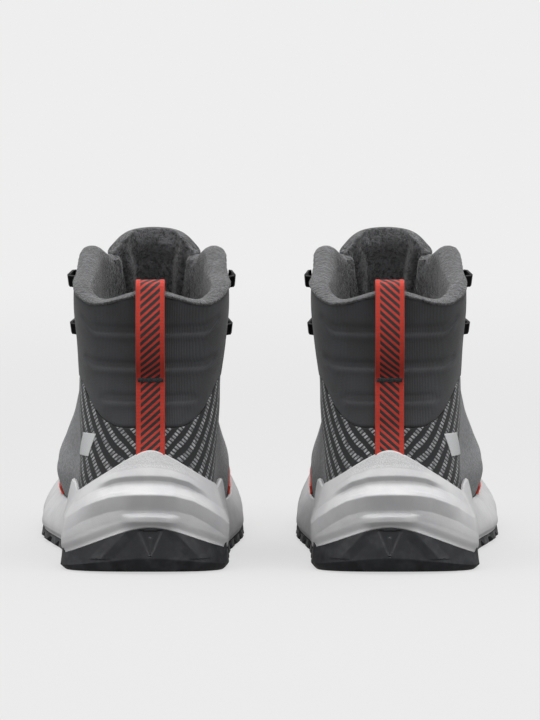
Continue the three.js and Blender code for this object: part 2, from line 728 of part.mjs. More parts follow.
// An outline in the plane of `back` and `out`, extruded along `up` and centred on the seat.
function onSeat({ origin, out, up, back }, shape, length) {
  const geometry = new THREE.ExtrudeGeometry(shape, { depth: length, bevelEnabled: false, curveSegments: 4 });
  geometry.translate(0, 0, -length / 2);
  const basis = new THREE.Matrix4().makeBasis(back, out, up).setPosition(origin);
  geometry.applyMatrix4(basis);
  return back.clone().cross(out).dot(up) < 0 ? turned(geometry) : geometry;
}

// The same geometry with every face turned round.
function turned(geometry) {
  const soup = geometry.index ? geometry.toNonIndexed() : geometry;
  const p = soup.getAttribute("position");
  for (let k = 0; k < p.count; k += 3) {
    const [a, b] = [k + 1, k + 2].map((n) => new THREE.Vector3().fromBufferAttribute(p, n));
    p.setXYZ(k + 1, b.x, b.y, b.z);
    p.setXYZ(k + 2, a.x, a.y, a.z);
  }
  return soup;
}

// A webbing loop: a short tunnel for the lace, flat on the eyestay.
function laceLoop(level, side) {
  const inner = LACE_PASSAGE / 2;
  const outer = inner + LOOP_WALL;
  const shape = new THREE.Shape();
  shape.moveTo(-outer, 0);
  shape.lineTo(outer, 0);
  shape.absarc(0, outer, outer, 0, Math.PI, false);
  shape.closePath();
  const hole = new THREE.Path();
  hole.absarc(0, outer, inner, 0, 2 * Math.PI, true);
  shape.holes.push(hole);
  return onSeat(seat(level, side, LOOP_SETBACK), shape, LOOP_LENGTH);
}

// A speed hook: a riveted plate whose neck rises near the throat and whose arm reaches back.
function laceHook(level, side) {
  const neck = -LACE_PASSAGE / 2;
  const arm = HOOK_PLATE + LACE_PASSAGE;
  const tip = LACE_PASSAGE / 2 + 1.4;
  const outline = [
    [neck - HOOK_PLATE, 0], [tip + 1.4, 0], [tip + 1.4, HOOK_PLATE], [neck, HOOK_PLATE],
    [neck, arm], [tip - 0.8, arm], [tip, arm - 0.9], [tip + 0.8, arm - 0.5],
    [tip - 0.2, arm + HOOK_PLATE], [neck + 0.4, arm + HOOK_PLATE], [neck - HOOK_PLATE, arm],
  ];
  const shape = new THREE.Shape(outline.map(([x, y]) => new THREE.Vector2(x, y)));
  return onSeat(seat(level, side, HOOK_SETBACK), shape, HOOK_WIDTH);
}

// ---------------------------------------------------------------- the heel strap and its pull loop
// Webbing up the back of the heel, which stands off the collar as a pull loop above its stitched
// bar, and folds over the collar's rim to be sewn inside.
function heelStrap() {
  const half = STRAP_WIDTH / 2;
  const rearPoint = (level, offset) => skin(level, 0, offset);
  const proud = (level) => (level < collarBottom(0) ? 0 : collarPuff(level, 0));
  const tack = levelAt(0, STRAP_TACK_HEIGHT);
  const top = collarTop(0);
  const start = levelAt(0, HEEL_PEAK + 2 * CLEARANCE);
  const middle = [];
  for (let k = 0; k <= 5; k++) {
    const level = lerp(start, tack, k / 5);
    middle.push(rearPoint(level, proud(level) + 0.6 + STRAP_THICKNESS / 2));
  }
  for (const share of [0.25, 0.5, 0.75]) {
    const level = lerp(tack, top, share);
    const bow = STRAP_STAND_OFF * Math.sin(Math.PI * share) ** 0.7;
    middle.push(rearPoint(level, proud(level) + 0.6 + bow + STRAP_THICKNESS / 2));
  }
  const rim = rearPoint(top, 0);
  const inside = liningTop(top) - LINING_THICKNESS - SOFT_GAP - STRAP_THICKNESS;
  middle.push(vec(0, rim.y - 2.8, rim.z + 1.5));
  middle.push(vec(0, rim.y + 0.5, rim.z + 4.4));
  middle.push(vec(0, rim.y + 4.4, rim.z + 4.9));
  middle.push(vec(0, rim.y - inside, rim.z + 1.6));
  middle.push(rearPoint(top - 0.35, inside));
  middle.push(rearPoint(top - 1.1, inside));
  const curve = new THREE.CatmullRomCurve3(middle, false, "centripetal");
  const steps = 36;
  const points = curve.getPoints(steps);
  const place = (side) => (a, b) => {
    const k = Math.round(b * steps);
    const ahead = points[Math.min(k + 1, steps)].clone().sub(points[Math.max(k - 1, 0)]).normalize();
    const normal = vec(0, ahead.z, -ahead.y);
    return points[k].clone().addScaledVector(normal, (side * STRAP_THICKNESS) / 2).setX((2 * a - 1) * half);
  };
  return sheet(2, steps + 1, place(1), place(-1));
}

// ---------------------------------------------------------------- colours and materials
const finish = (color, roughness, metalness = 0) =>
  new THREE.MeshStandardMaterial({ color, roughness, metalness });
const MATERIALS = {
  foam: finish(0xc6c6c6, 0.65),
  rubber: finish(0x1f2022, 0.7),
  plate: finish(0xd2442e, 0.4),
  board: finish(0xb9b4a8, 0.9),
  footbed: finish(0x3a3b3d, 0.9),
  knit: finish(0x77797b, 0.9),
  collar: finish(0x3d3e40, 0.85),
  fleece: finish(0x333436, 1),
  stiffener: finish(0xdcdad2, 0.6),
  overlay: finish(0x2b2c2e, 0.6),
  orange: finish(0xd8432c, 0.75),
  metal: finish(0x151516, 0.45, 0.6),
  webbing: finish(0x26272a, 0.85),
};

// ---------------------------------------------------------------- the boot
// Every piece of one boot: its name, its geometry and its material.
function pieces() {
  const list = [
    ["outsole", outsole(), "rubber"],
    ["midsole", midsole(), "foam"],
    ["rocker_plate", rockerPlate(), "plate"],
    ["lasting_board", lastingBoard(), "board"],
    ["footbed", footbed(), "footbed"],
    ["vamp", vamp(), "knit"],
    ["quarter_lateral", quarter(1), "knit"],
    ["quarter_medial", quarter(-1), "knit"],
    ["toe_cap", toeCap(), "rubber"],
    ["forefoot_band", forefootBand(), "orange"],
    ["heel_counter", heelCounter(), "stiffener"],
    ["toe_puff", toePuff(), "stiffener"],
    ["ankle_collar", ankleCollar(), "collar"],
    ["lining", lining(), "fleece"],
    ["tongue", tongue(), "fleece"],
    ["tongue_gusset", tongueGusset(), "fleece"],
    ["eyestay_lateral", eyestay(1), "overlay"],
    ["eyestay_medial", eyestay(-1), "overlay"],
    ["heel_strap", heelStrap(), "orange"],
  ];
  for (const [side, name] of [[1, "lateral"], [-1, "medial"]]) {
    LOOP_LEVELS.forEach((level, k) => {
      list.push([`lace_loop_${name}_${k + 1}`, laceLoop(level, side), "webbing"]);
    });
    HOOK_LEVELS.forEach((level, k) => {
      list.push([`lace_hook_${name}_${k + 1}`, laceHook(level, side), "metal"]);
    });
  }
  return list;
}

function boot(prefix, made) {
  const group = new THREE.Group();
  for (const [name, geometry, material] of made) {
    const mesh = new THREE.Mesh(geometry, MATERIALS[material]);
    mesh.name = `${prefix}_${name}`;
    group.add(mesh);
  }
  return group;
}

const made = pieces();
const right = boot("right", made);
right.position.x = BOOT_SPACING / 2;
const left = boot("left", made);
left.scale.x = -1;
left.position.x = -BOOT_SPACING / 2;

const pair = new THREE.Group();
pair.add(left, right);
const box = new THREE.Box3().setFromObject(pair, true);
pair.position.y = -(box.min.y + box.max.y) / 2;

const object = new THREE.Group();
object.add(pair);
export default object;
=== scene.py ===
import bpy
import numpy as np
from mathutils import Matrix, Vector

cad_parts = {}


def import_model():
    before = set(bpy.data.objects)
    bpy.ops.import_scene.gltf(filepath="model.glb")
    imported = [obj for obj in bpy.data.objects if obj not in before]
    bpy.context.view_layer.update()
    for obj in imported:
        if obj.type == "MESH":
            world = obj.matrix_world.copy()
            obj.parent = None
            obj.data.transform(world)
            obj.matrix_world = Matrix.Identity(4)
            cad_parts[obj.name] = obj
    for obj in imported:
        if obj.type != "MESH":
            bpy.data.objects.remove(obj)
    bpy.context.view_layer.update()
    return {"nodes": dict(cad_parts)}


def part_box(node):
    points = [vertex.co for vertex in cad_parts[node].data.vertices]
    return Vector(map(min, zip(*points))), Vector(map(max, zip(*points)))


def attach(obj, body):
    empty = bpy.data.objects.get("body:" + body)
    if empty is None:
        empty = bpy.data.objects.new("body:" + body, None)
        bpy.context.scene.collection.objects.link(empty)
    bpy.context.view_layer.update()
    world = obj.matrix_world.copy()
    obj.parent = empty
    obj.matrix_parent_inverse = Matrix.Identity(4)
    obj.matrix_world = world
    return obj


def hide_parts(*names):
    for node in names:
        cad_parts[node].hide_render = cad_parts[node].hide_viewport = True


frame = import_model()

# A pair of mid-height hiking boots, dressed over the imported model. Shapes are worked out for the right
# boot in millimetres, in its own frame: x = 0 on the heel's centre line with the lateral side at +x,
# y = 0 near the back of the heel and growing towards the toe, z up from the ground. Each piece is made
# once and mirrored for the left boot.

# ------------------------------------------------------------------ where the boots stand
strap_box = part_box("right_heel_strap")
sole_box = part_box("right_outsole")
HALF_SPACING = 500 * (strap_box[0].x + strap_box[1].x)
SOLE_REAR = -9.0
SOLE_FRONT = 289.0
SHIFT_Y = 500 * (sole_box[0].y + sole_box[1].y) - (SOLE_REAR + SOLE_FRONT) / 2
SIDES = {"right": 1.0, "left": -1.0}

# ------------------------------------------------------------------ sizes, in millimetres
KNIT = 1.4
COLLAR_PADDING = 5.6
COLLAR_PUFF = 2.6
LINING = 1.3
CUP_GAP = 0.6
CUP_WALL = 2.4
HEEL_PEAK = 64.7
RUBBER_PEAK = 25.0
LUG_HEIGHT = 4.0
RUBBER = 2.5
CLEARANCE = 0.4  # between the sole's layers
RIM_WIDTH = 11.0
STRAP_WIDTH = 15.4
STRAP_THICKNESS = 1.4
STRAP_TACK = 103.0
STRAP_STAND_OFF = 7.5  # finger room behind the pull loop

DEG = np.pi / 180


def lerp(a, b, t):
    """The value a share t of the way from a to b."""
    return a + (b - a) * t


def ease(a, b, x):
    """0 below a, 1 above b, and smooth between them."""
    t = np.clip((x - a) / (b - a), 0, 1)
    return t * t * (3 - 2 * t)


def through(pairs, x):
    """A smooth line through (position, value) pairs."""
    x = np.asarray(x, float)
    made = np.full(x.shape, float(pairs[0][1]))
    for (x0, a), (x1, b) in zip(pairs, pairs[1:]):
        made = np.where(x > x0, lerp(a, b, ease(x0, x1, x)), made)
    return made


def solve(rising, target, low, high):
    """Where a rising function reaches its target, for arrays."""
    low = np.broadcast_to(low, np.shape(target)).astype(float)
    high = np.broadcast_to(high, np.shape(target)).astype(float)
    for _ in range(34):
        middle = (low + high) / 2
        under = rising(middle) < target
        low = np.where(under, middle, low)
        high = np.where(under, high, middle)
    return (low + high) / 2


# ------------------------------------------------------------------ the upper's surface
# Columns: rear y, rear z, front y, front z, lateral half at heel and ball, medial half at heel and
# ball, rear end, front end, sideways shift of the front, and how far it follows the underfoot curve.
SECTIONS = np.array([
    [1, 27.5, 280, 36.5, 34, 50, 31, 40, 34, 62, 2, 1],
    [-2, 46, 284, 46, 39, 55, 33.5, 41.5, 37, 64, 2, 0.7],
    [0, 60, 274, 57, 38.5, 50, 34.5, 37.5, 38, 62, 2, 0.25],
    [3, 73, 222, 68, 38.5, 45, 35.5, 35.5, 39, 60, 2, 0],
    [6, 87, 183, 80, 39, 42, 36.5, 35.8, 41, 58, 1, 0],
    [7.5, 102, 155, 98, 39.2, 39, 37, 36.3, 43, 54, 0, 0],
    [7, 118, 138, 120, 40.5, 38, 39.6, 37.2, 45, 50, 0, 0],
    [4.5, 135, 128, 146, 43, 39, 42.4, 38.6, 46, 46, 0, 0],
    [1, 150, 122, 169, 44, 39, 43.4, 38.6, 48, 44, 0, 0],
    [-1, 165, 120, 187, 43.5, 38, 43, 37.6, 48, 42, 0, 0],
])
TOP_LEVEL = len(SECTIONS) - 1


def section(level):
    """The section at a level, smoothly between the drawn ones."""
    i = np.clip(np.floor(level).astype(int), 0, TOP_LEVEL - 1)
    t = (level - i)[..., None]
    a, b, c, d = [SECTIONS[np.clip(i + k, 0, TOP_LEVEL)] for k in (-1, 0, 1, 2)]
    slope_in = (c - a) / 2
    slope_out = (d - b) / 2
    rise = c - b
    cubic = slope_in + slope_out - 2 * rise
    square = 3 * rise - 2 * slope_in - slope_out
    return b + t * (slope_in + t * (square + t * cubic))


def round_end(distance, length):
    """A rounded end: 0 at the end itself, 1 from `length` onwards."""
    left = 1 - np.clip(distance / length, 0, 1)
    return np.sqrt(np.maximum(0, 1 - left * left))


def underfoot(y):
    """Height of the foot's bed over the length of the sole."""
    return lerp(26, 21, ease(40, 170, y)) + 14 * ease(190, 290, y)


def surface(level, u):
    """A point of the upper's outer surface at a level from the sole up and an angle round the boot."""
    level, u = np.broadcast_arrays(np.asarray(level, float), np.asarray(u, float))
    s = section(level)
    t = (1 - np.cos(u)) / 2
    y = lerp(s[..., 0], s[..., 2], t)
    lateral = np.sin(u) >= 0
    heel = np.where(lateral, s[..., 4], s[..., 6])
    ball = np.where(lateral, s[..., 5], s[..., 7])
    ends = round_end(y - s[..., 0], s[..., 8]) * round_end(s[..., 2] - y, s[..., 9])
    half = lerp(heel, ball, ease(0.12, 0.62, t)) * ends
    chord = lerp(underfoot(s[..., 0]), underfoot(s[..., 2]), t)
    z = lerp(s[..., 1], s[..., 3], t) + s[..., 11] * (underfoot(y) - chord)
    x = np.where(lateral, 1, -1) * half + s[..., 10] * ease(0.35, 1, t)
    return np.stack([x, y, z], -1)


def skin_normal(level, u):
    """The way out of the upper's surface."""
    step = 0.02
    low = np.clip(level - step, 0, TOP_LEVEL)
    high = np.clip(level + step, 0, TOP_LEVEL)
    along = surface(level, u + step) - surface(level, u - step)
    up = surface(high, u) - surface(low, u)
    normal = np.cross(along, up)
    return normal / np.linalg.norm(normal, axis=-1, keepdims=True)


def skin(level, u, offset=0.0):
    """A point `offset` out from the upper's surface."""
    level, u, offset = np.broadcast_arrays(
        np.asarray(level, float), np.asarray(u, float), np.asarray(offset, float))
    return surface(level, u) + skin_normal(level, u) * offset[..., None]


def level_at(u, z):
    """The level at which the surface reaches a height."""
    return solve(lambda level: surface(level, u)[..., 2], z, 0, TOP_LEVEL)


THROAT_BOTTOM = 3.5
THROAT = [(3, 11), (4, 14), (5, 17.5), (6, 20), (7, 22.5), (8, 25), (9, 25.5)]


def half_throat(level):
    """Half the throat's width."""
    return through(THROAT, level)


def front_angle(level, across):
    """The angle at which a section's front part is `across` from its middle."""
    level, across = np.broadcast_arrays(np.asarray(level, float), np.asarray(across, float))

    def angle(w):
        return np.where(w < 0, -np.pi - w, np.pi - w)

    middle = section(level)[..., 10]
    w = solve(lambda w: surface(level, angle(w))[..., 0], middle + across, -100 * DEG, 100 * DEG)
    return angle(w)


LEVELS = np.linspace(3, TOP_LEVEL, 121)
EDGE_ANGLES = {side: np.abs(front_angle(LEVELS, side * half_throat(LEVELS))) for side in (1, -1)}


def throat_angle(level, side):
    """The angle of the throat's edge, without its sign."""
    lateral = np.interp(level, LEVELS, EDGE_ANGLES[1])
    medial = np.interp(level, LEVELS, EDGE_ANGLES[-1])
    return np.where(np.asarray(side) > 0, lateral, medial)


COLLAR_BACK = 3.3
COLLAR_FRONT = 5.4


def collar_bottom(u):
    """Level of the collar's lower edge round the boot."""
    a = np.abs(u) / DEG
    return lerp(COLLAR_BACK, COLLAR_FRONT, 0.8 * ease(14, 60, a) + 0.2 * ease(60, 120, a))


def collar_top(u):
    """Level of the collar's top edge: it dips beside the heel tab and at the throat."""
    return through([(0, 7.93), (40, 7.4), (74, 7.72), (118, 8.1), (143, 7.68)], np.abs(u) / DEG)


def collar_puff(level, u):
    """How far the padding stands proud, dying away in front of the ankle."""
    up = np.clip((level - collar_bottom(u)) / (collar_top(u) - collar_bottom(u)), 0, 1)
    in_front = 1 - ease(78, 104, np.abs(u) / DEG)
    return COLLAR_PUFF * in_front * np.sqrt(np.sin(np.pi * np.clip(up, 0.02, 0.98)))


# Arc length round the boot from the heel's centre line, as a table over level and angle.
ARC_LEVELS = np.linspace(0, TOP_LEVEL, 46)
ARC_ANGLES = np.linspace(0, np.pi, 181)


def arc_table(side):
    """Arc lengths on one side, from the heel forwards."""
    points = surface(ARC_LEVELS[:, None], side * ARC_ANGLES[None, :])
    steps = np.linalg.norm(np.diff(points, axis=1), axis=-1)
    return np.concatenate([np.zeros((len(ARC_LEVELS), 1)), np.cumsum(steps, axis=1)], axis=1)


ARCS = {side: arc_table(side) for side in (1, -1)}


def arc(level, u):
    """Signed arc length from the heel's centre line: positive on the lateral side."""
    folded = np.where(u > np.pi, u - 2 * np.pi, u)
    row = np.clip(level / TOP_LEVEL * (len(ARC_LEVELS) - 1), 0, len(ARC_LEVELS) - 1.001)
    column = np.clip(np.abs(folded) / np.pi * (len(ARC_ANGLES) - 1), 0, len(ARC_ANGLES) - 1.001)
    i, j = row.astype(int), column.astype(int)
    a, b = row - i, column - j
    made = 0
    for side in (1, -1):
        table = ARCS[side]
        low = lerp(table[i, j], table[i, j + 1], b)
        high = lerp(table[i + 1, j], table[i + 1, j + 1], b)
        made = np.where((folded >= 0) == (side > 0), side * lerp(low, high, a), made)
    return made


# ------------------------------------------------------------------ meshes
def grid_faces(rows, columns, start=0, wrap=False):
    """Quads between rows of points, the last column joined to the first with wrap."""
    i, j = np.meshgrid(np.arange(rows - 1), np.arange(columns - (0 if wrap else 1)), indexing="ij")
    n = (j + 1) % columns
    a, b = start + i * columns + j, start + i * columns + n
    c, d = start + (i + 1) * columns + n, start + (i + 1) * columns + j
    return np.stack([a, b, c, d], -1).reshape(-1, 4)


def facing_out(points, faces):
    """The same faces, turned round if the closed mesh is inside out."""
    a, b, c, d = [points[faces[:, k]] for k in range(4)]
    volume = (a * (np.cross(b, c) + np.cross(c, d))).sum()
    return faces[:, ::-1] if volume < 0 else faces


def run_along(line):
    """Distance from the start of a line to each of its points."""
    steps = np.linalg.norm(np.diff(line, axis=0), axis=1)
    return np.concatenate([[0], np.cumsum(steps)])


def spaced(count, radius, length, steps, ends=(True, True)):
    """Distances from 0 to length, crowded near the ends that are rounded."""
    bend = radius * (1 - np.cos(np.linspace(0, np.pi / 2, steps + 1)))
    first = bend[:-1] if ends[0] else np.zeros(0)
    last = (length - bend[:-1])[::-1] if ends[1] else np.zeros(0)
    inner = np.linspace(radius if ends[0] else 0, length - (radius if ends[1] else 0), count)
    return np.concatenate([first, inner, last])


def shell(place, columns, rows, top, bottom, radius, steps=3):
    """A closed sheet with rounded edges. place(a, b, offset) gives points for a and b from 0 to 1."""
    probe = np.linspace(0, 1, 24)
    mid = place(*np.meshgrid(probe, probe), 0.0)
    wide = np.linalg.norm(np.diff(mid, axis=1), axis=-1).sum(1)
    tall = np.linalg.norm(np.diff(mid, axis=0), axis=-1).sum(0).mean()
    down = spaced(rows, radius, tall, steps)
    b = down / tall
    lengths = np.interp(b, probe, wide)
    across = np.stack([spaced(columns, radius, length, steps) for length in lengths])
    a = across / lengths[:, None]
    b = np.broadcast_to(b[:, None], a.shape)
    near_a = np.maximum(0, radius - np.minimum(across, lengths[:, None] - across))
    near_b = np.maximum(0, radius - np.minimum(down, tall - down))[:, None]
    drop = radius - np.sqrt(np.maximum(0, radius**2 - near_a**2 - near_b**2))
    tops = top(a, b) if callable(top) else np.full(a.shape, float(top))
    bottoms = bottom(a, b) if callable(bottom) else np.full(a.shape, float(bottom))
    outer = place(a, b, tops - drop)
    inner = place(a, b, np.minimum(bottoms + drop, tops - drop - 0.02))
    return close_sheet(outer, inner), a, b


def close_sheet(outer, inner):
    """One closed mesh from two grids of the same size, joined round their borders."""
    rows, columns = outer.shape[:2]
    points = np.concatenate([outer.reshape(-1, 3), inner.reshape(-1, 3)])
    size = rows * columns
    front = grid_faces(rows, columns)
    back = grid_faces(rows, columns, size)[:, ::-1]
    ring = [(0, j) for j in range(columns - 1)]
    ring += [(i, columns - 1) for i in range(rows - 1)]
    ring += [(rows - 1, j) for j in range(columns - 1, 0, -1)]
    ring += [(i, 0) for i in range(rows - 1, 0, -1)]
    index = np.array([i * columns + j for i, j in ring])
    after = np.roll(index, -1)
    rim = np.stack([index, index + size, after + size, after], -1)
    faces = np.concatenate([front, back, rim])
    return points, facing_out(points, faces)


def tubes(paths, radius, sides=6):
    """Round threads along short paths, each a closed shell with pointed ends."""
    points, faces = [], []
    turns = np.linspace(0, 2 * np.pi, sides, endpoint=False)
    for path in paths:
        path = np.asarray(path)
        tangent = np.gradient(path, axis=0)
        tangent /= np.linalg.norm(tangent, axis=1, keepdims=True)
        side = np.cross(tangent, [0.31, 0.45, 0.84])
        side /= np.linalg.norm(side, axis=1, keepdims=True)
        other = np.cross(tangent, side)
        share = np.linspace(-1, 1, len(path))
        swell = radius * np.sqrt(np.maximum(0.04, 1 - share**6))
        ring = (path[:, None] + swell[:, None, None] * (
            np.cos(turns)[None, :, None] * side[:, None] + np.sin(turns)[None, :, None] * other[:, None]))
        start = sum(len(p) for p in points)
        points.append(ring.reshape(-1, 3))
        body = grid_faces(len(path), sides, start, wrap=True)
        last = start + (len(path) - 1) * sides
        caps = [(start + k, start + k + 1, start + sides - 2 - k, start + sides - 1 - k)
                for k in range(sides // 2 - 1)]
        caps += [(last + sides - 1 - k, last + sides - 2 - k, last + k + 1, last + k)
                 for k in range(sides // 2 - 1)]
        faces.append(np.concatenate([body, np.array(caps)]))
    points, faces = np.concatenate(points), np.concatenate(faces)
    return points, facing_out(points, faces)


def stitch_paths(line, lift, stitch, gap):
    """Short arcs along a line: each stitch dips into the surface at its ends."""
    line = np.asarray(line)
    lift = np.asarray(lift)
    run = run_along(line)
    made = []
    count = int(run[-1] // (stitch + gap))
    spare = (run[-1] - count * (stitch + gap)) / 2
    for k in range(count):
        at = spare + k * (stitch + gap) + np.linspace(0, stitch, 6)
        spot = np.stack([np.interp(at, run, line[:, axis]) for axis in range(3)], -1)
        out = np.stack([np.interp(at, run, lift[:, axis]) for axis in range(3)], -1)
        rise = np.sin(np.linspace(0, np.pi, 6))[:, None]
        made.append(spot + out * (0.42 * rise - 0.12))
    return made


def make_object(name, points, faces, attributes, sharp):
    """A smooth mesh with its pattern attributes, sharp above an angle if one is given."""
    mesh = bpy.data.meshes.new(name)
    mesh.from_pydata(points.tolist(), [], faces.tolist())
    mesh.validate()
    for key, values in attributes.items():
        values = np.asarray(values, np.float32)
        kind = "FLOAT_VECTOR" if values.ndim == 2 else "FLOAT"
        made = mesh.attributes.new(key, kind, "POINT")
        made.data.foreach_set("vector" if values.ndim == 2 else "value", values.ravel())
    mesh.polygons.foreach_set("use_smooth", [True] * len(mesh.polygons))
    if sharp:
        mesh.set_sharp_from_angle(angle=sharp * DEG)
    obj = bpy.data.objects.new(name, mesh)
    bpy.context.scene.collection.objects.link(obj)
    return obj


def world(points, mirror):
    """Boot millimetres to metres in the model's frame."""
    x = mirror * (points[..., 0] + HALF_SPACING)
    return np.stack([x, points[..., 1] + SHIFT_Y, points[..., 2]], -1) / 1000


def pair(name, points, faces, material, slot, replaces=(), body="boot", sharp=0, fill=None, **attributes):
    """One piece for each boot, mirrored, riding on its body and standing for its CAD nodes."""
    for side, mirror in SIDES.items():
        turned = faces if mirror > 0 else faces[:, ::-1]
        obj = make_object(f"{side}_{name}", world(points, mirror), turned, attributes, sharp)
        obj.data.materials.append(material)
        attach(obj, f"{side}_{body}")
        if replaces:
            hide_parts(*[f"{side}_{node}" for node in replaces])


def inflate(points, faces, pins, pressure, cap):
    """Cloth blown up by pressure with its seams held: returns the points after 20 frames."""
    mesh = bpy.data.meshes.new("inflate")
    mesh.from_pydata((points / 1000).tolist(), [], faces.tolist())
    obj = bpy.data.objects.new("inflate", mesh)
    bpy.context.scene.collection.objects.link(obj)
    group = obj.vertex_groups.new(name="held")
    for k, weight in enumerate(pins):
        if weight > 0:
            group.add([k], float(weight), "REPLACE")
    modifier = obj.modifiers.new("Cloth", "CLOTH")
    cloth = modifier.settings
    cloth.quality = 7
    cloth.mass = 0.2
    cloth.tension_stiffness = 12
    cloth.compression_stiffness = 12
    cloth.shear_stiffness = 6
    cloth.bending_stiffness = 0.6
    cloth.air_damping = 4
    cloth.vertex_group_mass = "held"
    cloth.use_pressure = True
    cloth.uniform_pressure_force = pressure
    cloth.effector_weights.gravity = 0
    modifier.collision_settings.use_collision = False
    scene = bpy.context.scene
    for number in range(1, 21):
        scene.frame_set(number)
    settled = obj.evaluated_get(bpy.context.evaluated_depsgraph_get()).data
    moved = np.zeros(len(settled.vertices) * 3)
    settled.vertices.foreach_get("co", moved)
    moved = moved.reshape(-1, 3) * 1000
    scene.frame_set(1)
    bpy.data.objects.remove(obj)
    bpy.data.meshes.remove(mesh)
    shift = moved - points
    length = np.linalg.norm(shift, axis=1, keepdims=True)
    return points + shift * np.minimum(1, cap / np.maximum(length, 1e-9))


# ------------------------------------------------------------------ materials
def srgb(code):
    """A linear colour from a hexadecimal one."""
    channels = [(code >> shift & 255) / 255 for shift in (16, 8, 0)]
    return tuple(c / 12.92 if c < 0.04045 else ((c + 0.055) / 1.055) ** 2.4 for c in channels) + (1.0,)


class Shader:
    """Short calls for building one node material. Sizes are in millimetres."""

    def __init__(self, name, colour, roughness, **sockets):
        self.material = bpy.data.materials.new(name)
        self.material.use_nodes = True
        self.tree = self.material.node_tree
        self.bsdf = self.tree.nodes["Principled BSDF"]
        self.bsdf.inputs["Base Color"].default_value = srgb(colour)
        self.bsdf.inputs["Roughness"].default_value = roughness
        for key, value in sockets.items():
            self.bsdf.inputs[key.replace("_", " ")].default_value = value
        self.coordinates = self.node("ShaderNodeTexCoord").outputs["Object"]

    def node(self, kind, inputs=None, **settings):
        made = self.tree.nodes.new(kind)
        for key, value in settings.items():
            setattr(made, key, value)
        for key, value in (inputs or {}).items():
            if isinstance(value, bpy.types.NodeSocket):
                self.tree.links.new(value, made.inputs[key])
            else:
                made.inputs[key].default_value = value
        return made

    def math(self, operation, a, b=0.0, c=0.0):
        return self.node("ShaderNodeMath", {0: a, 1: b, 2: c}, operation=operation).outputs[0]

    def attribute(self, name):
        return self.node("ShaderNodeAttribute", attribute_name=name).outputs["Fac"]

    def plane(self, name):
        """The two coordinates, in millimetres, of a piece's own pattern."""
        vector = self.node("ShaderNodeAttribute", attribute_name=name).outputs["Vector"]
        split = self.node("ShaderNodeSeparateXYZ", {0: vector})
        return split.outputs[0], split.outputs[1]

    def noise(self, size, detail=2.0, roughness=0.5):
        made = self.node("ShaderNodeTexNoise", {
            "Vector": self.coordinates, "Scale": 1000 / size, "Detail": detail, "Roughness": roughness})
        return made.outputs["Fac"]

    def cells(self, size):
        made = self.node("ShaderNodeTexVoronoi", {"Vector": self.coordinates, "Scale": 1000 / size})
        return made.outputs["Distance"]

    def ramp(self, value, low, high, start=0.0, end=1.0):
        made = self.node("ShaderNodeMapRange", {
            "Value": value, "From Min": low, "From Max": high, "To Min": start, "To Max": end},
            interpolation_type="SMOOTHSTEP")
        return made.outputs[0]

    def wave(self, value, period, low=-1.0, high=1.0):
        turn = self.math("SINE", self.math("MULTIPLY", value, 2 * np.pi / period))
        return self.ramp(turn, low, high)

    def bars(self, value, share, soft=0.05):
        """1 in the middle `share` of each unit step of value, 0 elsewhere."""
        away = self.math("ABSOLUTE", self.math("SUBTRACT", self.math("FRACT", value), 0.5))
        return self.ramp(away, share / 2 - soft, share / 2 + soft, 1.0, 0.0)

    def mix(self, factor, a, b):
        a, b = [srgb(c) if isinstance(c, int) else c for c in (a, b)]
        made = self.node("ShaderNodeMix", {0: factor, 6: a, 7: b}, data_type="RGBA")
        return made.outputs[2]

    def colour(self, socket):
        self.tree.links.new(socket, self.bsdf.inputs["Base Color"])

    def rough(self, socket):
        self.tree.links.new(socket, self.bsdf.inputs["Roughness"])

    def bump(self, height, depth, strength=1.0):
        made = self.node("ShaderNodeBump", {"Height": height, "Strength": strength, "Distance": depth / 1000})
        self.tree.links.new(made.outputs[0], self.bsdf.inputs["Normal"])


def foam_material():
    s = Shader("moulded_foam", 0xC3C3C4, 0.55, Subsurface_Weight=0.04)
    s.bsdf.inputs["Subsurface Radius"].default_value = (0.004, 0.004, 0.004)
    texture = s.attribute("speckle")
    grain = s.noise(0.55, 3)
    mottle = s.noise(14, 3)
    plain = s.mix(s.ramp(mottle, 0.3, 0.7), 0xBFBFC1, 0xC9C9C9)
    # Painted shade: inside the textured band the foam is darkened towards 0x9C9C9E in the low spots of its
    # grain bump, where shade falls in the pits.
    pit_shade = s.math("MULTIPLY", texture, s.ramp(grain, 0.38, 0.62, 0.55, 0.1))
    s.colour(s.mix(pit_shade, plain, 0x9C9C9E))
    s.bump(s.math("MULTIPLY_ADD", texture, s.math("MULTIPLY", grain, 4.0), s.noise(0.8, 2)), 0.06)
    s.rough(s.ramp(s.noise(5, 3), 0.3, 0.7, 0.44, 0.58))
    return s.material


def rubber_material():
    s = Shader("outsole_rubber", 0x26272A, 0.48)
    dust = s.ramp(s.noise(9, 5, 0.6), 0.45, 0.75)
    s.colour(s.mix(dust, 0x232427, 0x37383B))
    s.rough(s.ramp(s.noise(4, 4), 0.3, 0.7, 0.36, 0.6))
    s.bump(s.noise(0.5, 3), 0.05)
    return s.material


def cap_material():
    s = Shader("toe_cap_rubber", 0x2B2C2F, 0.55)
    hexagons = s.ramp(s.cells(1.6), 0.2, 0.6)
    s.colour(s.mix(s.noise(11, 4), 0x242528, 0x3A3B3E))
    s.rough(s.ramp(s.noise(3, 3), 0.3, 0.7, 0.42, 0.66))
    s.bump(s.math("ADD", hexagons, s.noise(0.6, 2)), 0.12)
    return s.material


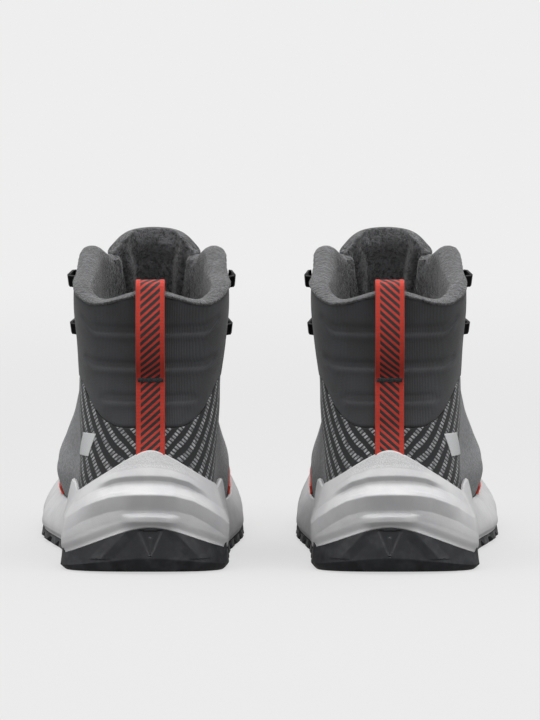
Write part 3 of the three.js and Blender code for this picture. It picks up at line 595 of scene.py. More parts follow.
def knit_material():
    """Dark ribs and broken light ribs at the heel, melting into a grey heather mesh at the sides."""
    s = Shader("striped_knit", 0x6E7073, 0.9, Sheen_Weight=0.12)
    signed, height = s.plane("cloth")
    along = s.math("ABSOLUTE", signed)
    heather = s.attribute("heather")
    stripe = s.bars(s.attribute("stripe"), 0.44, 0.05)
    slant = s.math("MULTIPLY_ADD", along, 0.75, height)
    dash = s.bars(s.math("MULTIPLY", slant, 1 / 2.3), 0.6, 0.16)
    wander = s.ramp(s.noise(2.0, 2), 0.3, 0.7, 0.3, 1.0)
    light = s.math("MULTIPLY", stripe, s.math("MULTIPLY", dash, wander))
    ribs = s.mix(light, 0x1D1E20, 0xA9AAAC)
    lean = s.math("MULTIPLY_ADD", along, -0.9, height)
    loops = s.math("MULTIPLY", s.bars(s.math("MULTIPLY", slant, 1 / 2.9), 0.5, 0.2),
                   s.bars(s.math("MULTIPLY", lean, 1 / 2.6), 0.6, 0.2))
    fleck = s.ramp(s.noise(1.7, 3, 0.7), 0.36, 0.64)
    mesh = s.mix(s.math("MULTIPLY_ADD", loops, 0.8, s.math("MULTIPLY", fleck, 0.5)), 0x303134, 0x9C9D9F)
    s.colour(s.mix(heather, ribs, mesh))
    relief = s.node("ShaderNodeMix", {0: heather, 2: light, 3: loops}, data_type="FLOAT").outputs[0]
    s.bump(s.math("ADD", relief, s.math("MULTIPLY", s.noise(0.45, 2), 0.5)), 0.22)
    return s.material


def collar_material():
    s = Shader("collar_fabric", 0x3E3F42, 0.8, Sheen_Weight=0.18, Sheen_Roughness=0.5)
    along, height = s.plane("cloth")
    rib = s.wave(along, 0.95)
    rung = s.wave(height, 0.8)
    worn = s.ramp(s.noise(16, 4), 0.35, 0.7)
    base = s.mix(worn, 0x2D2E30, 0x353639)
    s.colour(s.mix(s.math("MULTIPLY", rib, 0.2), base, 0x1F2022))
    s.bump(s.math("MULTIPLY_ADD", rung, 0.25, s.math("ADD", rib, s.noise(0.4, 2))), 0.07)
    return s.material


def fleece_material(name, dark, pale):
    s = Shader(name, dark, 0.95, Sheen_Weight=0.35, Sheen_Roughness=0.6)
    tuft = s.ramp(s.noise(2.1, 4, 0.75), 0.38, 0.66)
    patch = s.ramp(s.noise(9, 3), 0.3, 0.75, 0.4, 1.0)
    # Pale on the tuft tops and dark between them: partly the fleece's own lighter fibre tips, partly painted
    # highlight on the tufts and painted shade between them.
    s.colour(s.mix(s.math("MULTIPLY", tuft, patch), dark, pale))
    s.bump(s.math("ADD", tuft, s.math("MULTIPLY", s.cells(0.9), 0.6)), 0.5)
    return s.material


def overlay_material():
    s = Shader("overlay_film", 0x323336, 0.5)
    along, height = s.plane("cloth")
    weave = s.math("MULTIPLY", s.wave(along, 0.9), s.wave(height, 0.9))
    s.colour(s.mix(s.noise(6, 4), 0x2C2D30, 0x3C3D40))
    s.rough(s.ramp(s.noise(3, 3), 0.3, 0.7, 0.42, 0.62))
    s.bump(weave, 0.06)
    return s.material


def accent_material():
    s = Shader("accent_film", 0xD9432B, 0.5)
    s.colour(s.mix(s.noise(5, 3), 0xCE3A23, 0xE04E35))
    s.rough(s.ramp(s.noise(2, 3), 0.3, 0.7, 0.42, 0.6))
    s.bump(s.noise(0.6, 3), 0.05)
    return s.material


def strap_material():
    """Woven webbing: plain selvedges and slanting bars between them."""
    s = Shader("strap_webbing", 0xC5351F, 0.7, Sheen_Weight=0.06)
    across, along = s.plane("cloth")
    inside = s.ramp(s.math("ABSOLUTE", across), STRAP_WIDTH / 2 - 2.7, STRAP_WIDTH / 2 - 2.3, 1.0, 0.0)
    slant = s.math("MULTIPLY", s.math("MULTIPLY_ADD", across, 0.9, along), 1 / 3.95)
    bar = s.math("MULTIPLY", s.bars(slant, 0.56, 0.035), inside)
    pick = s.wave(along, 0.75)
    end = s.wave(across, 0.62)
    shade = s.mix(s.ramp(s.math("MULTIPLY", pick, end), 0.1, 0.9), 0xA92713, 0xCC3722)
    s.colour(s.mix(bar, shade, 0x1B1B1D))
    s.bump(s.math("MULTIPLY_ADD", bar, -0.35, s.math("MULTIPLY", pick, end)), 0.16)
    return s.material


def webbing_material(name, dark, pale):
    s = Shader(name, dark, 0.75, Sheen_Weight=0.2)
    wave = s.math("MULTIPLY", s.cells(0.7), s.noise(0.6, 2))
    s.colour(s.mix(s.ramp(s.noise(0.8, 3), 0.35, 0.65), dark, pale))
    s.bump(wave, 0.2)
    return s.material


def metal_material():
    s = Shader("hook_metal", 0x121213, 0.34, Metallic=0.75, Coat_Weight=0.25)
    worn = s.ramp(s.noise(1.6, 5, 0.65), 0.55, 0.75)
    s.colour(s.mix(worn, 0x111112, 0x2C2C2E))
    s.rough(s.ramp(s.noise(1.2, 3), 0.3, 0.7, 0.28, 0.46))
    s.bump(s.noise(0.5, 3), 0.02)
    return s.material


def plain_material(name, dark, pale, roughness, size, depth):
    s = Shader(name, dark, roughness)
    s.colour(s.mix(s.ramp(s.noise(size, 4), 0.35, 0.65), dark, pale))
    s.bump(s.noise(size / 4, 3), depth)
    return s.material


def tab_material():
    s = Shader("reflective_tab", 0xC9CACB, 0.35, Metallic=0.1, Coat_Weight=0.3)
    along, height = s.plane("cloth")
    hatch = s.wave(s.math("MULTIPLY_ADD", along, 1.0, height), 0.8)
    s.colour(s.mix(hatch, 0xB9BABB, 0xDADBDC))
    s.bump(hatch, 0.04)
    return s.material


FOAM = foam_material()
RUBBER_SKIN = rubber_material()
CAP = cap_material()
KNITTED = knit_material()
COLLAR = collar_material()
# The second colour of each fleece goes on its tuft tops: partly lighter fibre tips, partly painted highlight.
FLEECE = fleece_material("collar_fleece", 0x17181A, 0x5E5F63)
TONGUE_FLEECE = fleece_material("tongue_fleece", 0x161719, 0x606165)
GUSSET = fleece_material("gusset_fabric", 0x18191B, 0x3A3B3D)
OVERLAY = overlay_material()
ACCENT = accent_material()
STRAP = strap_material()
LOOPS = webbing_material("loop_webbing", 0x1D1E20, 0x404145)
THREAD = webbing_material("stitching_thread", 0x1A1B1C, 0x3A3B3E)
PALE_THREAD = webbing_material("pale_thread", 0x55565A, 0x77787C)
METAL = metal_material()
TAB = tab_material()
FOOTBED = plain_material("footbed_fabric", 0x2E2F31, 0x4A4B4E, 0.9, 1.2, 0.15)
BOARD = plain_material("lasting_board_fibre", 0xA9A396, 0xC7C1B4, 0.9, 2.0, 0.06)
PLATE = plain_material("rocker_plate_resin", 0xB93A26, 0xD34A33, 0.4, 6.0, 0.03)
STIFFENER = plain_material("stiffener_sheet", 0xCFCCC2, 0xE4E1D8, 0.65, 3.0, 0.04)


# ------------------------------------------------------------------ the knitted upper
LOW_LEVEL = 0.12
SEAM = 92 * DEG
SEAM_GAP = 0.12 * DEG
LEVEL_GAP = 0.012
STRIPE_PERIOD = 7.0
STRIPE_MEETING = 77.0  # height where the stripes of both sides meet at the heel
HEATHER_FADE = (46, 74)  # arc lengths between which the ribs turn into plain mesh


def seam_angle(level, side):
    """Where the quarter meets the vamp, sloping into the throat."""
    return lerp(SEAM, throat_angle(np.full(np.shape(level), THROAT_BOTTOM), side), level / THROAT_BOTTOM)


def pattern(level, u):
    """Arc length and height, from which a fabric's pattern is drawn."""
    z = surface(level, u)[..., 2]
    return np.stack([arc(level, u), z, np.zeros_like(z)], -1)


def knit_facts(level, u):
    """What the knit's pattern is drawn from: where it is, its stripe, and how plain it is."""
    cloth = pattern(level, u)
    along, z = np.abs(cloth[:, 0]), cloth[:, 1]
    lean = 0.5 + 0.45 * np.exp(-np.maximum(0, along - 15) / 10)
    return {
        "cloth": cloth,
        "stripe": (along - lean * (z - STRIPE_MEETING)) / STRIPE_PERIOD,
        "heather": ease(*HEATHER_FADE, along),
    }


def cloth_shell(at, columns, rows, top, bottom, radius, steps=3):
    """A rounded sheet on the upper's surface, with its levels and angles for both faces."""
    (points, faces), a, b = shell(
        lambda a, b, offset: skin(*at(a, b), offset), columns, rows, top, bottom, radius, steps)
    level, u = at(a, b)
    return points, faces, np.tile(level.ravel(), 2), np.tile(u.ravel(), 2)


def quarter_at(side):
    """The quarter's grid, from the heel's centre line to the seam and the throat."""
    def front_edge(level):
        below = seam_angle(level, side)
        return np.where(level < THROAT_BOTTOM, below, throat_angle(level, side))

    def at(a, b):
        front_level = lerp(LOW_LEVEL, COLLAR_FRONT - LEVEL_GAP, b)
        front = front_edge(front_level) - SEAM_GAP
        angle = lerp(SEAM_GAP, front, a**1.15)

        def level_on(angle):
            return lerp(LOW_LEVEL, collar_bottom(angle) - LEVEL_GAP, b)

        return level_on(angle) + (front_level - level_on(front)) * a**2, side * angle

    return at


for side, label in ((1, "lateral"), (-1, "medial")):
    points, faces, level, u = cloth_shell(quarter_at(side), 120, 56, 0, -KNIT, 0.5)
    pair(f"knit_quarter_{label}", points, faces, KNITTED, "knit", [f"quarter_{label}"],
         **knit_facts(level, u))


def vamp_at(a, b):
    """The vamp's grid, from seam to seam over the toes."""
    level = lerp(LOW_LEVEL, THROAT_BOTTOM - LEVEL_GAP, b)
    start = seam_angle(level, 1) + SEAM_GAP
    end = 2 * np.pi - seam_angle(level, -1) - SEAM_GAP
    return level, lerp(start, end, a)


points, faces, level, u = cloth_shell(vamp_at, 150, 50, 0, -KNIT, 0.5)
pair("knit_vamp", points, faces, KNITTED, "knit", ["vamp"], **knit_facts(level, u))


# ------------------------------------------------------------------ the padded collar
def collar_at(a, b):
    """The collar's grid, from one front edge round the heel to the other."""
    side = np.where(a < 0.5, -1.0, 1.0)
    share = side * np.abs(2 * a - 1) ** 1.15
    front_level = lerp(COLLAR_FRONT, 7.65, b)
    u = share * throat_angle(front_level, side)
    return lerp(collar_bottom(u), collar_top(u), b), u


# Sewn channels across the back: height at the middle, how far their ends lift, and where they fade.
CHANNELS = (
    {"height": 128.2, "lift": 7.0, "turn": (36, 54), "fade": (44, 52), "start": 0},
    {"height": 109.4, "lift": 4.5, "turn": (36, 54), "fade": (43, 51), "start": 0},
    {"height": 91.6, "lift": 0.0, "turn": (20, 30), "fade": (23, 32), "start": 7},
)


def channel_distance(channel, u, z):
    """Height above a channel, and the channel's strength, for points of the collar."""
    angle = np.abs(u) / DEG
    line = channel["height"] + channel["lift"] * ease(*channel["turn"], angle)
    strength = (1 - ease(*channel["fade"], angle)) * ease(channel["start"] - 6, channel["start"] + 2, angle)
    return z - line, strength


def collar_swell():
    """How far cloth pressure lifts the collar between its channels, on a coarse grid."""
    rows, columns = 41, 97
    b, a = np.meshgrid(np.linspace(0, 1, rows), np.linspace(0, 1, columns), indexing="ij")
    level, u = collar_at(a, b)
    points = skin(level, u, 0.35 * collar_puff(level, u))
    held = np.zeros(a.shape)
    held[[0, -1]] = 1
    held[:, [0, -1]] = 1
    for channel in CHANNELS:
        above, strength = channel_distance(channel, u, points[..., 2])
        held = np.maximum(held, 0.97 * strength * np.exp(-(above / 1.3) ** 2))
    faces = grid_faces(rows, columns)
    start = points.reshape(-1, 3)
    a0, b0, c0 = [start[faces[:, k]] for k in (0, 1, 2)]
    outward = (np.cross(b0 - a0, c0 - a0) * skin_normal(level, u).reshape(-1, 3)[faces[:, 0]]).sum()
    if outward < 0:
        faces = faces[:, ::-1]
    moved = inflate(start, faces, held.ravel(), 4.0, 4.5)
    lift = ((moved - start) * skin_normal(level, u).reshape(-1, 3)).sum(-1).reshape(rows, columns)
    return np.clip(lift, -0.5, 4.5)


def sampled(grid, a, b):
    """A coarse grid's value at a and b from 0 to 1."""
    rows, columns = grid.shape
    row = np.clip(b * (rows - 1), 0, rows - 1.001)
    column = np.clip(a * (columns - 1), 0, columns - 1.001)
    i, j = row.astype(int), column.astype(int)
    y, x = row - i, column - j
    low = lerp(grid[i, j], grid[i, j + 1], x)
    high = lerp(grid[i + 1, j], grid[i + 1, j + 1], x)
    return lerp(low, high, y)


swell = collar_swell()


def collar_top_offset(a, b):
    """Outer face of the collar: cloth swell with the sewn channels pressed in."""
    level, u = collar_at(a, b)
    base = collar_puff(level, u)
    lift = 0.35 * base + sampled(swell, a, b) if swell.max() > 0.3 else 0.75 * base
    z = surface(level, u)[..., 2]
    for channel in CHANNELS:
        above, strength = channel_distance(channel, u, z)
        fold = np.where(above > 0, np.exp(-(above / 2.6) ** 2), np.exp(-(above / 1.2) ** 2))
        lift = lift - strength * (1.2 * fold - 0.3 * np.exp(-((above + 3.2) / 1.8) ** 2))
    return np.maximum(lift, 0.25)


points, faces, level, u = cloth_shell(collar_at, 190, 110, collar_top_offset, -COLLAR_PADDING, 1.5)
pair("padded_collar", points, faces, COLLAR, "collar", ["ankle_collar"], fill=0.7, cloth=pattern(level, u))


# ------------------------------------------------------------------ the fleece lining and its rolled rim
LEVEL_RISE = 15.6  # millimetres from one level to the next near the collar's top
RIM_DEPTH = 60.0
# The rim's section: distance out from the collar's surface, and height above its top edge.
RIM_PATH = [(0.5, -1.4), (1.1, -0.7), (1.1, 0.3), (0.2, 1.9), (-1.8, 3.0), (-4.2, 3.2), (-6.6, 2.2),
            (-8.4, 0.2), (-9.3, -3.0), (-9.4, -8.0), (-8.9, -16.0), (-8.5, -34.0), (-8.4, -60.0),
            (-7.2, -60.0), (-7.1, -34.0), (-7.0, -8.0), (-6.4, -1.2), (-5.4, 0.4), (-3.2, 0.9),
            (-1.0, 0.6), (-0.2, -0.2), (0.0, -1.3)]


def smooth_path(points, count, closed=False):
    """A smooth line through points, at even steps along it."""
    points = np.asarray(points, float)
    if closed:
        points = np.concatenate([points[-2:], points, points[:3]])
    else:
        points = np.concatenate([2 * points[:1] - points[1:2], points, 2 * points[-1:] - points[-2:-1]])
    made = []
    for a, b, c, d in zip(points, points[1:], points[2:], points[3:]):
        t = np.linspace(0, 1, 12, endpoint=False)[:, None]
        made.append(0.5 * (2 * b + (c - a) * t + (2 * a - 5 * b + 4 * c - d) * t**2
                           + (3 * b - a - 3 * c + d) * t**3))
    made = np.concatenate(made + ([] if closed else [points[-2:-1]]))
    if closed:
        made = made[12:-12]
        made = np.concatenate([made, made[:1]])
    run = run_along(made)
    at = np.linspace(0, run[-1], count)
    return np.stack([np.interp(at, run, made[:, k]) for k in range(points.shape[1])], -1)


def rough(points, size, seed):
    """Smooth pseudo-random values, from -1 to 1, over space."""
    rng = np.random.default_rng(seed)
    total = np.zeros(points.shape[:-1])
    for _ in range(7):
        direction = rng.normal(size=3)
        direction /= np.linalg.norm(direction)
        rate = 2 * np.pi / size
        total += np.sin(points @ direction * rate * rng.uniform(0.6, 1.7) + rng.uniform(0, 6.28))
    return total / 4


def fleece_rim():
    """The rolled fleece edge and the lining below it, as closed sections round the boot."""
    columns = 200
    a = np.linspace(0, 1, columns)
    top, u = collar_at(a, np.ones(columns))
    rim = np.array(RIM_PATH)
    steps = np.concatenate([np.linspace(0, 12, 70), np.linspace(12, len(rim) - 1, 22)[1:]])
    path = np.stack([np.interp(steps, np.arange(len(rim)), rim[:, k]) for k in range(2)], -1)
    for _ in range(3):
        path[1:-1] = (path[:-2] + 2 * path[1:-1] + path[2:]) / 4
    fullness = lerp(0.34, 0.72, ease(40, 90, np.abs(u) / DEG))
    hidden = 22
    proud = np.where(np.arange(len(path)) < len(path) - hidden, 1.0, 0.0)
    roll = lerp(1.0, 1.16, ease(45, 95, np.abs(u) / DEG))
    offset = path[:, 0][:, None] * lerp(1.0, roll[None, :], proud[:, None])
    rise = path[:, 1][:, None] * np.where(path[:, 1] > 0, 1.0, 0.0)[:, None] * fullness[None, :]
    drop = np.minimum(path[:, 1], 0)[:, None] * np.ones(columns)[None, :]
    low = lerp(3.6, 4.6, ease(60, 130, np.abs(u) / DEG))
    depth = np.minimum(RIM_DEPTH, (top - low) * LEVEL_RISE)
    level = top[None, :] + (rise + drop * (depth / RIM_DEPTH)[None, :]) / LEVEL_RISE
    level = np.clip(level, 0, TOP_LEVEL - 0.03)
    u = np.broadcast_to(u, level.shape)
    points = skin(level, u, offset)
    normal = skin_normal(level, u)
    fuzz = 0.16 * rough(points, 2.4, 3) + 0.28 * rough(points, 9.0, 4)
    return points + normal * (fuzz * proud[:, None])[..., None]


rings = fleece_rim()
count, columns = rings.shape[:2]
points = rings.reshape(-1, 3)
around = grid_faces(columns, count, wrap=True)
order = np.arange(count * columns).reshape(count, columns).T.ravel()
faces = order[around]
ends = []
for column in (0, columns - 1):
    ring = np.arange(count) * columns + column
    for k in range(count // 2 - 1):
        quad = [ring[k], ring[k + 1], ring[count - 2 - k], ring[count - 1 - k]]
        ends.append(quad if column == 0 else quad[::-1])
ends = np.array(ends)
whole = np.concatenate([faces, ends])
flipped = np.concatenate([faces, ends[:, ::-1]])


def loose_edges(faces):
    """How many directed edges appear twice, which a closed and consistent mesh never has."""
    edges = np.concatenate([np.stack([faces[:, k], faces[:, (k + 1) % 4]], -1) for k in range(4)])
    return len(edges) - len(np.unique(edges, axis=0))


faces = whole if loose_edges(whole) < loose_edges(flipped) else flipped
pair("fleece_rim", points, facing_out(points, faces), FLEECE, "lining", ["lining"], fill=0.5)


# The bootie below it, from toe to ankle.
def bootie():
    """The lining from toe to ankle, inside and outside, as rings."""
    columns, rows = 120, 26
    u = -np.pi + 2 * np.pi * np.arange(columns) / columns
    b = np.linspace(0, 1, rows)[:, None]
    front = ease(100, 150, np.abs(u) / DEG)
    level = lerp(LOW_LEVEL, lerp(3.75, 3.4, front)[None, :], b)
    depth = -lerp(5.3, 8.4, ease(2.4, 3.4, level))
    outer = skin(level, np.broadcast_to(u, level.shape), depth + LINING)
    inner = skin(level, np.broadcast_to(u, level.shape), depth)
    return np.concatenate([outer, inner[::-1], outer[:1]])


rings = bootie()
count, columns = rings.shape[:2]
points = rings[:-1].reshape(-1, 3)
faces = grid_faces(count, columns, wrap=True) % ((count - 1) * columns)
pair("bootie_lining", points, facing_out(points, faces), GUSSET, "lining")


# ------------------------------------------------------------------ the tongue
TONGUE_BOTTOM = THROAT_BOTTOM - 0.12
TONGUE_TOP = 8.4
TONGUE_REST = -0.6


def tongue_facts(a, b):
    """Share of the half width, level, distance from the middle, and how far the tongue is free."""
    s = 2 * a - 1
    level = lerp(TONGUE_BOTTOM, TONGUE_TOP - b**6 * (0.12 * s * s + 0.34 * np.abs(s) ** 5), b)
    free = ease(THROAT_BOTTOM, THROAT_BOTTOM + 0.5, level)
    corner = 1 - 0.09 * ease(0.94, 1, b) ** 2
    across = s * (half_throat(level) - 1.2 + 3.0 * ease(0.86, 0.95, b)) * corner
    return s, level, across, free


def tongue_place(a, b, offset):
    """A point of the tongue at an offset from the upper's surface."""
    _, level, across, _ = tongue_facts(a, b)
    return skin(level, front_angle(level, across), offset)


def tongue_front(a, b):
    """Offset of the tongue's front face, lower where it is tucked under the vamp."""
    free = tongue_facts(a, b)[3]
    return lerp(-KNIT - 0.4, TONGUE_REST, free)


def tongue_back(a, b):
    """Offset of the tongue's back face, thicker in the rolls along its edges."""
    s, _, _, free = tongue_facts(a, b)
    side_roll = np.sin(np.pi * np.clip((np.abs(s) - 0.5) / 0.5, 0, 1)) ** 1.3
    top_roll = np.sin(np.pi * np.clip((b - 0.84) / 0.16, 0, 1)) ** 1.4
    depth = 4.0 + 3.2 * np.maximum(side_roll * ease(0.3, 0.55, b), 0.75 * top_roll)
    return tongue_front(a, b) - lerp(3.0, depth, free)


(points, faces), a, b = shell(tongue_place, 64, 96, tongue_front, tongue_back, 1.5)
s = np.abs(2 * a - 1)
rear_seam = np.exp(-((s - 0.56) / 0.05) ** 2) * ease(0.35, 0.55, b)
top_seam = np.exp(-((b - 0.86) / 0.02) ** 2) * (s < 0.58)
held_back = np.clip(np.maximum(rear_seam, top_seam), 0, 0.96)
held_front = 0.9 * (1 - ease(0.5, 0.95, s)) + 0.05
held_low = 1 - ease(0.16, 0.3, b)
pins = np.concatenate([np.maximum(held_front, held_low).ravel(), np.maximum(held_back, held_low).ravel()])
points = inflate(points, faces, pins, 4.0, 2.2)
size = a.size
_, level, across, _ = tongue_facts(a, b)
normal = skin_normal(level, front_angle(level, across)).reshape(-1, 3)
fuzz = 0.14 * rough(points[size:], 2.2, 7) + 0.22 * rough(points[size:], 8.0, 8)
fuzz = fuzz - 0.3 * held_back.ravel() * (1 - held_low.ravel())
points[size:] = points[size:] - normal * fuzz[:, None]
pair("padded_tongue", points, faces, TONGUE_FLEECE, "tongue", ["tongue"], body="tongue", fill=0.75)


def gusset_at(a, b):
    """The bellows behind the throat."""
    s = 2 * a - 1
    top = lerp(6.5, 7.75, ease(0.72, 0.9, np.abs(s)))
    level = lerp(THROAT_BOTTOM + 0.3, top, b)
    return level, front_angle(level, s * (half_throat(level) + 5))


GUSSET_DEPTH = TONGUE_REST - 9.0
points, faces, level, u = cloth_shell(gusset_at, 70, 50, GUSSET_DEPTH, GUSSET_DEPTH - 1, 0.45)
pair("tongue_bellows", points, faces, GUSSET, "lining", ["tongue_gusset"])


# ------------------------------------------------------------------ eyestays, toe cap and accent band
EYESTAY_PROUD = 1.5
STITCH = 2.4
STITCH_GAP = 0.9


def back_from_edge(level, side, distance):
    """The angle `distance` back from the throat's edge along the surface."""
    edge = throat_angle(level, side)
    target = np.abs(arc(level, side * edge)) - distance
    return side * solve(lambda u: np.abs(arc(level, side * u)), target, 0.01, np.pi - 0.01)


def eyestay_width(b):
    """The overlay's width from its foot to its top."""
    return through([(0, 12), (0.25, 16), (0.6, 25), (0.8, 30), (1, 30)], b)


def eyestay_at(side):
    """The overlay's grid along one side of the throat."""
    def at(a, b):
        level = lerp(THROAT_BOTTOM + 0.15, 7.5, b)
        return level, back_from_edge(level, side, 0.6 + a * eyestay_width(b))

    return at


def stitch_line(at, inset, far):
    """A line `inset` inside one long edge of an eyestay, from its foot to just short of its top."""
    def line_at(t):
        b = t * 0.97
        share = inset / eyestay_width(b)
        return at(1 - share if far else share, b)

    return line_at


def stitched(line_at):
    """Points along a line on an eyestay's face, and the way out of it there."""
    level, u = line_at(np.linspace(0, 1, 300))
    return skin(level, u, EYESTAY_PROUD), skin_normal(level, u)


for side, label in ((1, "lateral"), (-1, "medial")):
    at = eyestay_at(side)
    points, faces, level, u = cloth_shell(at, 40, 120, EYESTAY_PROUD, 0.06, 0.55)
    pair(f"eyestay_overlay_{label}", points, faces, OVERLAY, "overlay", [f"eyestay_{label}"],
         cloth=pattern(level, u))
    threads = []
    for inset in (2.0, 3.6):
        for far in (False, True):
            threads += stitch_paths(*stitched(stitch_line(at, inset, far)), STITCH, STITCH_GAP)
    points, faces = tubes(threads, 0.3)
    pair(f"eyestay_stitching_{label}", points, faces, PALE_THREAD, "webbing")


# ------------------------------------------------------------------ the sole's curves
SOLE_LATERAL = (48.5, 64.0)
SOLE_MEDIAL = (41.2, 49.0)
TOE_SHIFT = 2.0
SOLE_ENDS = (31.0, 74.0)
PLATE_SHARE = 0.78


def ground(y):
    """Height of the sole's underside: bevelled at the heel, sprung at the toe."""
    back = np.clip((20 - y) / (20 - SOLE_REAR), 0, 1)
    front = np.clip((y - 190) / (SOLE_FRONT - 190), 0, 1)
    return 1.5 * back**2 + 20 * front**2


def sole_edge(u):
    """A plan point of the sole's edge."""
    t = (1 - np.cos(u)) / 2
    y = lerp(SOLE_REAR, SOLE_FRONT, t)
    lateral = np.sin(u) >= 0
    heel = np.where(lateral, SOLE_LATERAL[0], SOLE_MEDIAL[0])
    ball = np.where(lateral, SOLE_LATERAL[1], SOLE_MEDIAL[1])
    ends = round_end(y - SOLE_REAR, SOLE_ENDS[0]) * round_end(SOLE_FRONT - y, SOLE_ENDS[1])
    half = lerp(heel, ball, ease(0.28, 0.62, t)) * ends
    return np.stack([np.where(lateral, 1, -1) * half + TOE_SHIFT * ease(0.5, 1, t), y], -1)


def sole_spine(u):
    """The plan point of the sole's middle line that the edge is measured from."""
    edge = sole_edge(np.abs(u))
    other = sole_edge(-np.abs(u))
    y = np.clip(edge[..., 1], SOLE_REAR + 44, SOLE_FRONT - 62)
    return np.stack([(edge[..., 0] + other[..., 0]) / 2, y], -1)


def sole_plan(u, inset):
    """A plan point `inset` inside the sole's edge."""
    edge, spine = sole_edge(u), sole_spine(u)
    away = spine - edge
    length = np.linalg.norm(away, axis=-1, keepdims=True)
    return edge + away * (np.asarray(inset)[..., None] / length)


def sole_share(u, share):
    """A plan point a share of the way from the middle to the edge."""
    return sole_spine(u) + (sole_edge(u) - sole_spine(u)) * share


def rounded_slope(q, bend):
    """0 at 0 and 1 at 1, rounded at the start and straight after it."""
    return (np.hypot(1, q / bend) - 1) / (np.hypot(1, 1 / bend) - 1)


def rubber_top(u):
    """Top of the rubber, which rises in a peak at the heel."""
    edge = sole_edge(u)
    x, y = np.abs(edge[..., 0]), edge[..., 1]
    side = RUBBER_PEAK - 16.5 * rounded_slope(x / SOLE_LATERAL[0], 0.3)
    low = ground(y) + LUG_HEIGHT + 1.5
    return np.maximum(low, lerp(side, low, ease(10, 45, y)))


def tooth(u):
    """The small point at each end of the rubber's high part."""
    edge = sole_edge(u)
    y = edge[..., 1]
    return 3.6 * np.maximum(0, 1 - np.abs(y - 17) / 3.2)


def foam_top(u):
    """Top of the foam wall: a peak at the heel, a shoulder, and a fin on each side."""
    edge = surface(1.5, u)
    y = edge[..., 1]
    wall = underfoot(y) + 3.5
    peak = HEEL_PEAK - 23.5 * rounded_slope(np.abs(edge[..., 0]) / 37, 0.25)
    shoulder = wall + 11.5 * (1 - ease(35, 85, y))
    return lerp(peak, shoulder, ease(22, 38, y)) + 6.4 * fin(u)


def fin(u):
    """The fins' height along the sole, from 0 to 1, with a long slope behind."""
    y = surface(1.5, u)[..., 1]
    return np.clip((y - 29) / 28, 0, 1) ** 2.2 * (1 - ease(57, 66, y))


def outsole_top(y):
    """Upper side of the rubber, under the plate."""
    return ground(y) + LUG_HEIGHT + RUBBER


def plate_top(y):
    """Upper side of the rocker plate."""
    return outsole_top(y) + 1.7


def with_height(plan, z):
    """Plan points with their heights."""
    return np.concatenate([plan, np.broadcast_to(z, plan.shape[:-1])[..., None]], -1)


BAND_HEIGHT = 4.5


def band_low(u):
    """Level of the accent band's lower edge."""
    return level_at(u, foam_top(u) + 0.5)


def band_high(u):
    """Level of the accent band's upper edge."""
    return level_at(u, foam_top(u) + 0.8 + BAND_HEIGHT)


def band_at(a, b):
    """The accent band's grid, along the top of the foam round the toe."""
    u = lerp(98 * DEG, 262 * DEG, a)
    return lerp(band_low(u), band_high(u), b), u


points, faces, level, u = cloth_shell(band_at, 260, 8, 1.35, 0.06, 0.5)
pair("accent_edge", points, faces, ACCENT, "accent", ["forefoot_band"])


def cap_at(a, b):
    """The toe cap's grid, above the accent band."""
    u = lerp(138 * DEG, 222 * DEG, a)
    low = band_high(u) + 0.03
    high = 2.5 - 0.6 * np.cos(u / 2) ** 2
    return lerp(low, high, b), u


points, faces, level, u = cloth_shell(cap_at, 110, 34, 2.4, 0.06, 0.9, steps=4)
pair("rubber_toe_cap", points, faces, CAP, "toe_cap", ["toe_cap"])


# ------------------------------------------------------------------ the foam midsole
SOLE_STEPS = 420
EVEN = -1 + 2 * np.arange(SOLE_STEPS) / SOLE_STEPS
ROUND = np.pi * (0.4 * EVEN + 0.6 * EVEN**3)  # closer together round the heel
# The ridge round the heel: distance from the middle, and height.
RIDGE_LATERAL = [(0, 42.8), (8, 42.7), (15.4, 42.2), (23, 40.9), (30.5, 38.2), (38, 34.8), (42.7, 31.4),
                 (48.5, 27)]
RIDGE_MEDIAL = [(0, 42.8), (6, 42.6), (12.6, 41.9), (22.5, 39), (30, 34.4), (37.6, 28.4), (41.2, 24)]


def line_through(pairs, x):
    """Straight lines through (position, value) pairs."""
    return np.interp(x, [p[0] for p in pairs], [p[1] for p in pairs])


def ridge_height(u):
    """Height of the ridge that runs round the heel."""
    edge = sole_edge(u)
    x, y = np.abs(edge[..., 0]), edge[..., 1]
    lateral = np.sin(u) >= 0
    made = np.where(lateral, line_through(RIDGE_LATERAL, x), line_through(RIDGE_MEDIAL, x))
    return made - 3 * ease(20, 70, y)


# Height above the ridge and how far the wall stands out there, at the middle of the heel and further on.
SCULPT = [(-30, 0.3), (-17.2, 0.2), (-14.5, 1.4), (-11.8, 1.0), (-10.9, 0.2), (-10.2, -1.5), (-8.8, -1.4),
          (-0.35, 3.1), (0.0, 3.2), (0.5, 3.0), (3.6, 0.5), (5.6, -1.2), (7.0, -1.3), (9.3, 1.0), (9.8, 1.25),
          (10.4, 1.2), (13.6, 0.8), (15.5, 0.35), (22, 0.0), (40, 0.0)]
PITTED_ABOVE_RIDGE = 14.2
SIDE_SCULPT = [(-30, -0.4), (-14, -0.6), (-8, -0.2), (-0.35, 2.9), (0, 3.0), (0.5, 2.8), (7, 0.1), (40, 0)]


def wall_sculpt(u, z):
    """How far the heel's foam stands out of its plain wall: bulge, crease, facet, ridge and groove."""
    edge = sole_edge(u)
    x, y = np.abs(edge[..., 0]), edge[..., 1]
    above = z - ridge_height(u)
    full = line_through(SCULPT, above)
    upper = ease(22, 37, x + 2 * np.maximum(y - 10, 0))
    lower = ease(8, 17, x + 2 * np.maximum(y, 0))
    fade = 1 - np.where(above > 2.0, upper, lower)
    made = lerp(line_through(SIDE_SCULPT, above), full, fade)
    forward = 1 - ease(30, 95, y)
    return made * lerp(0.25, 1.0, forward) * (1 - 0.75 * ease(26, 47, x))


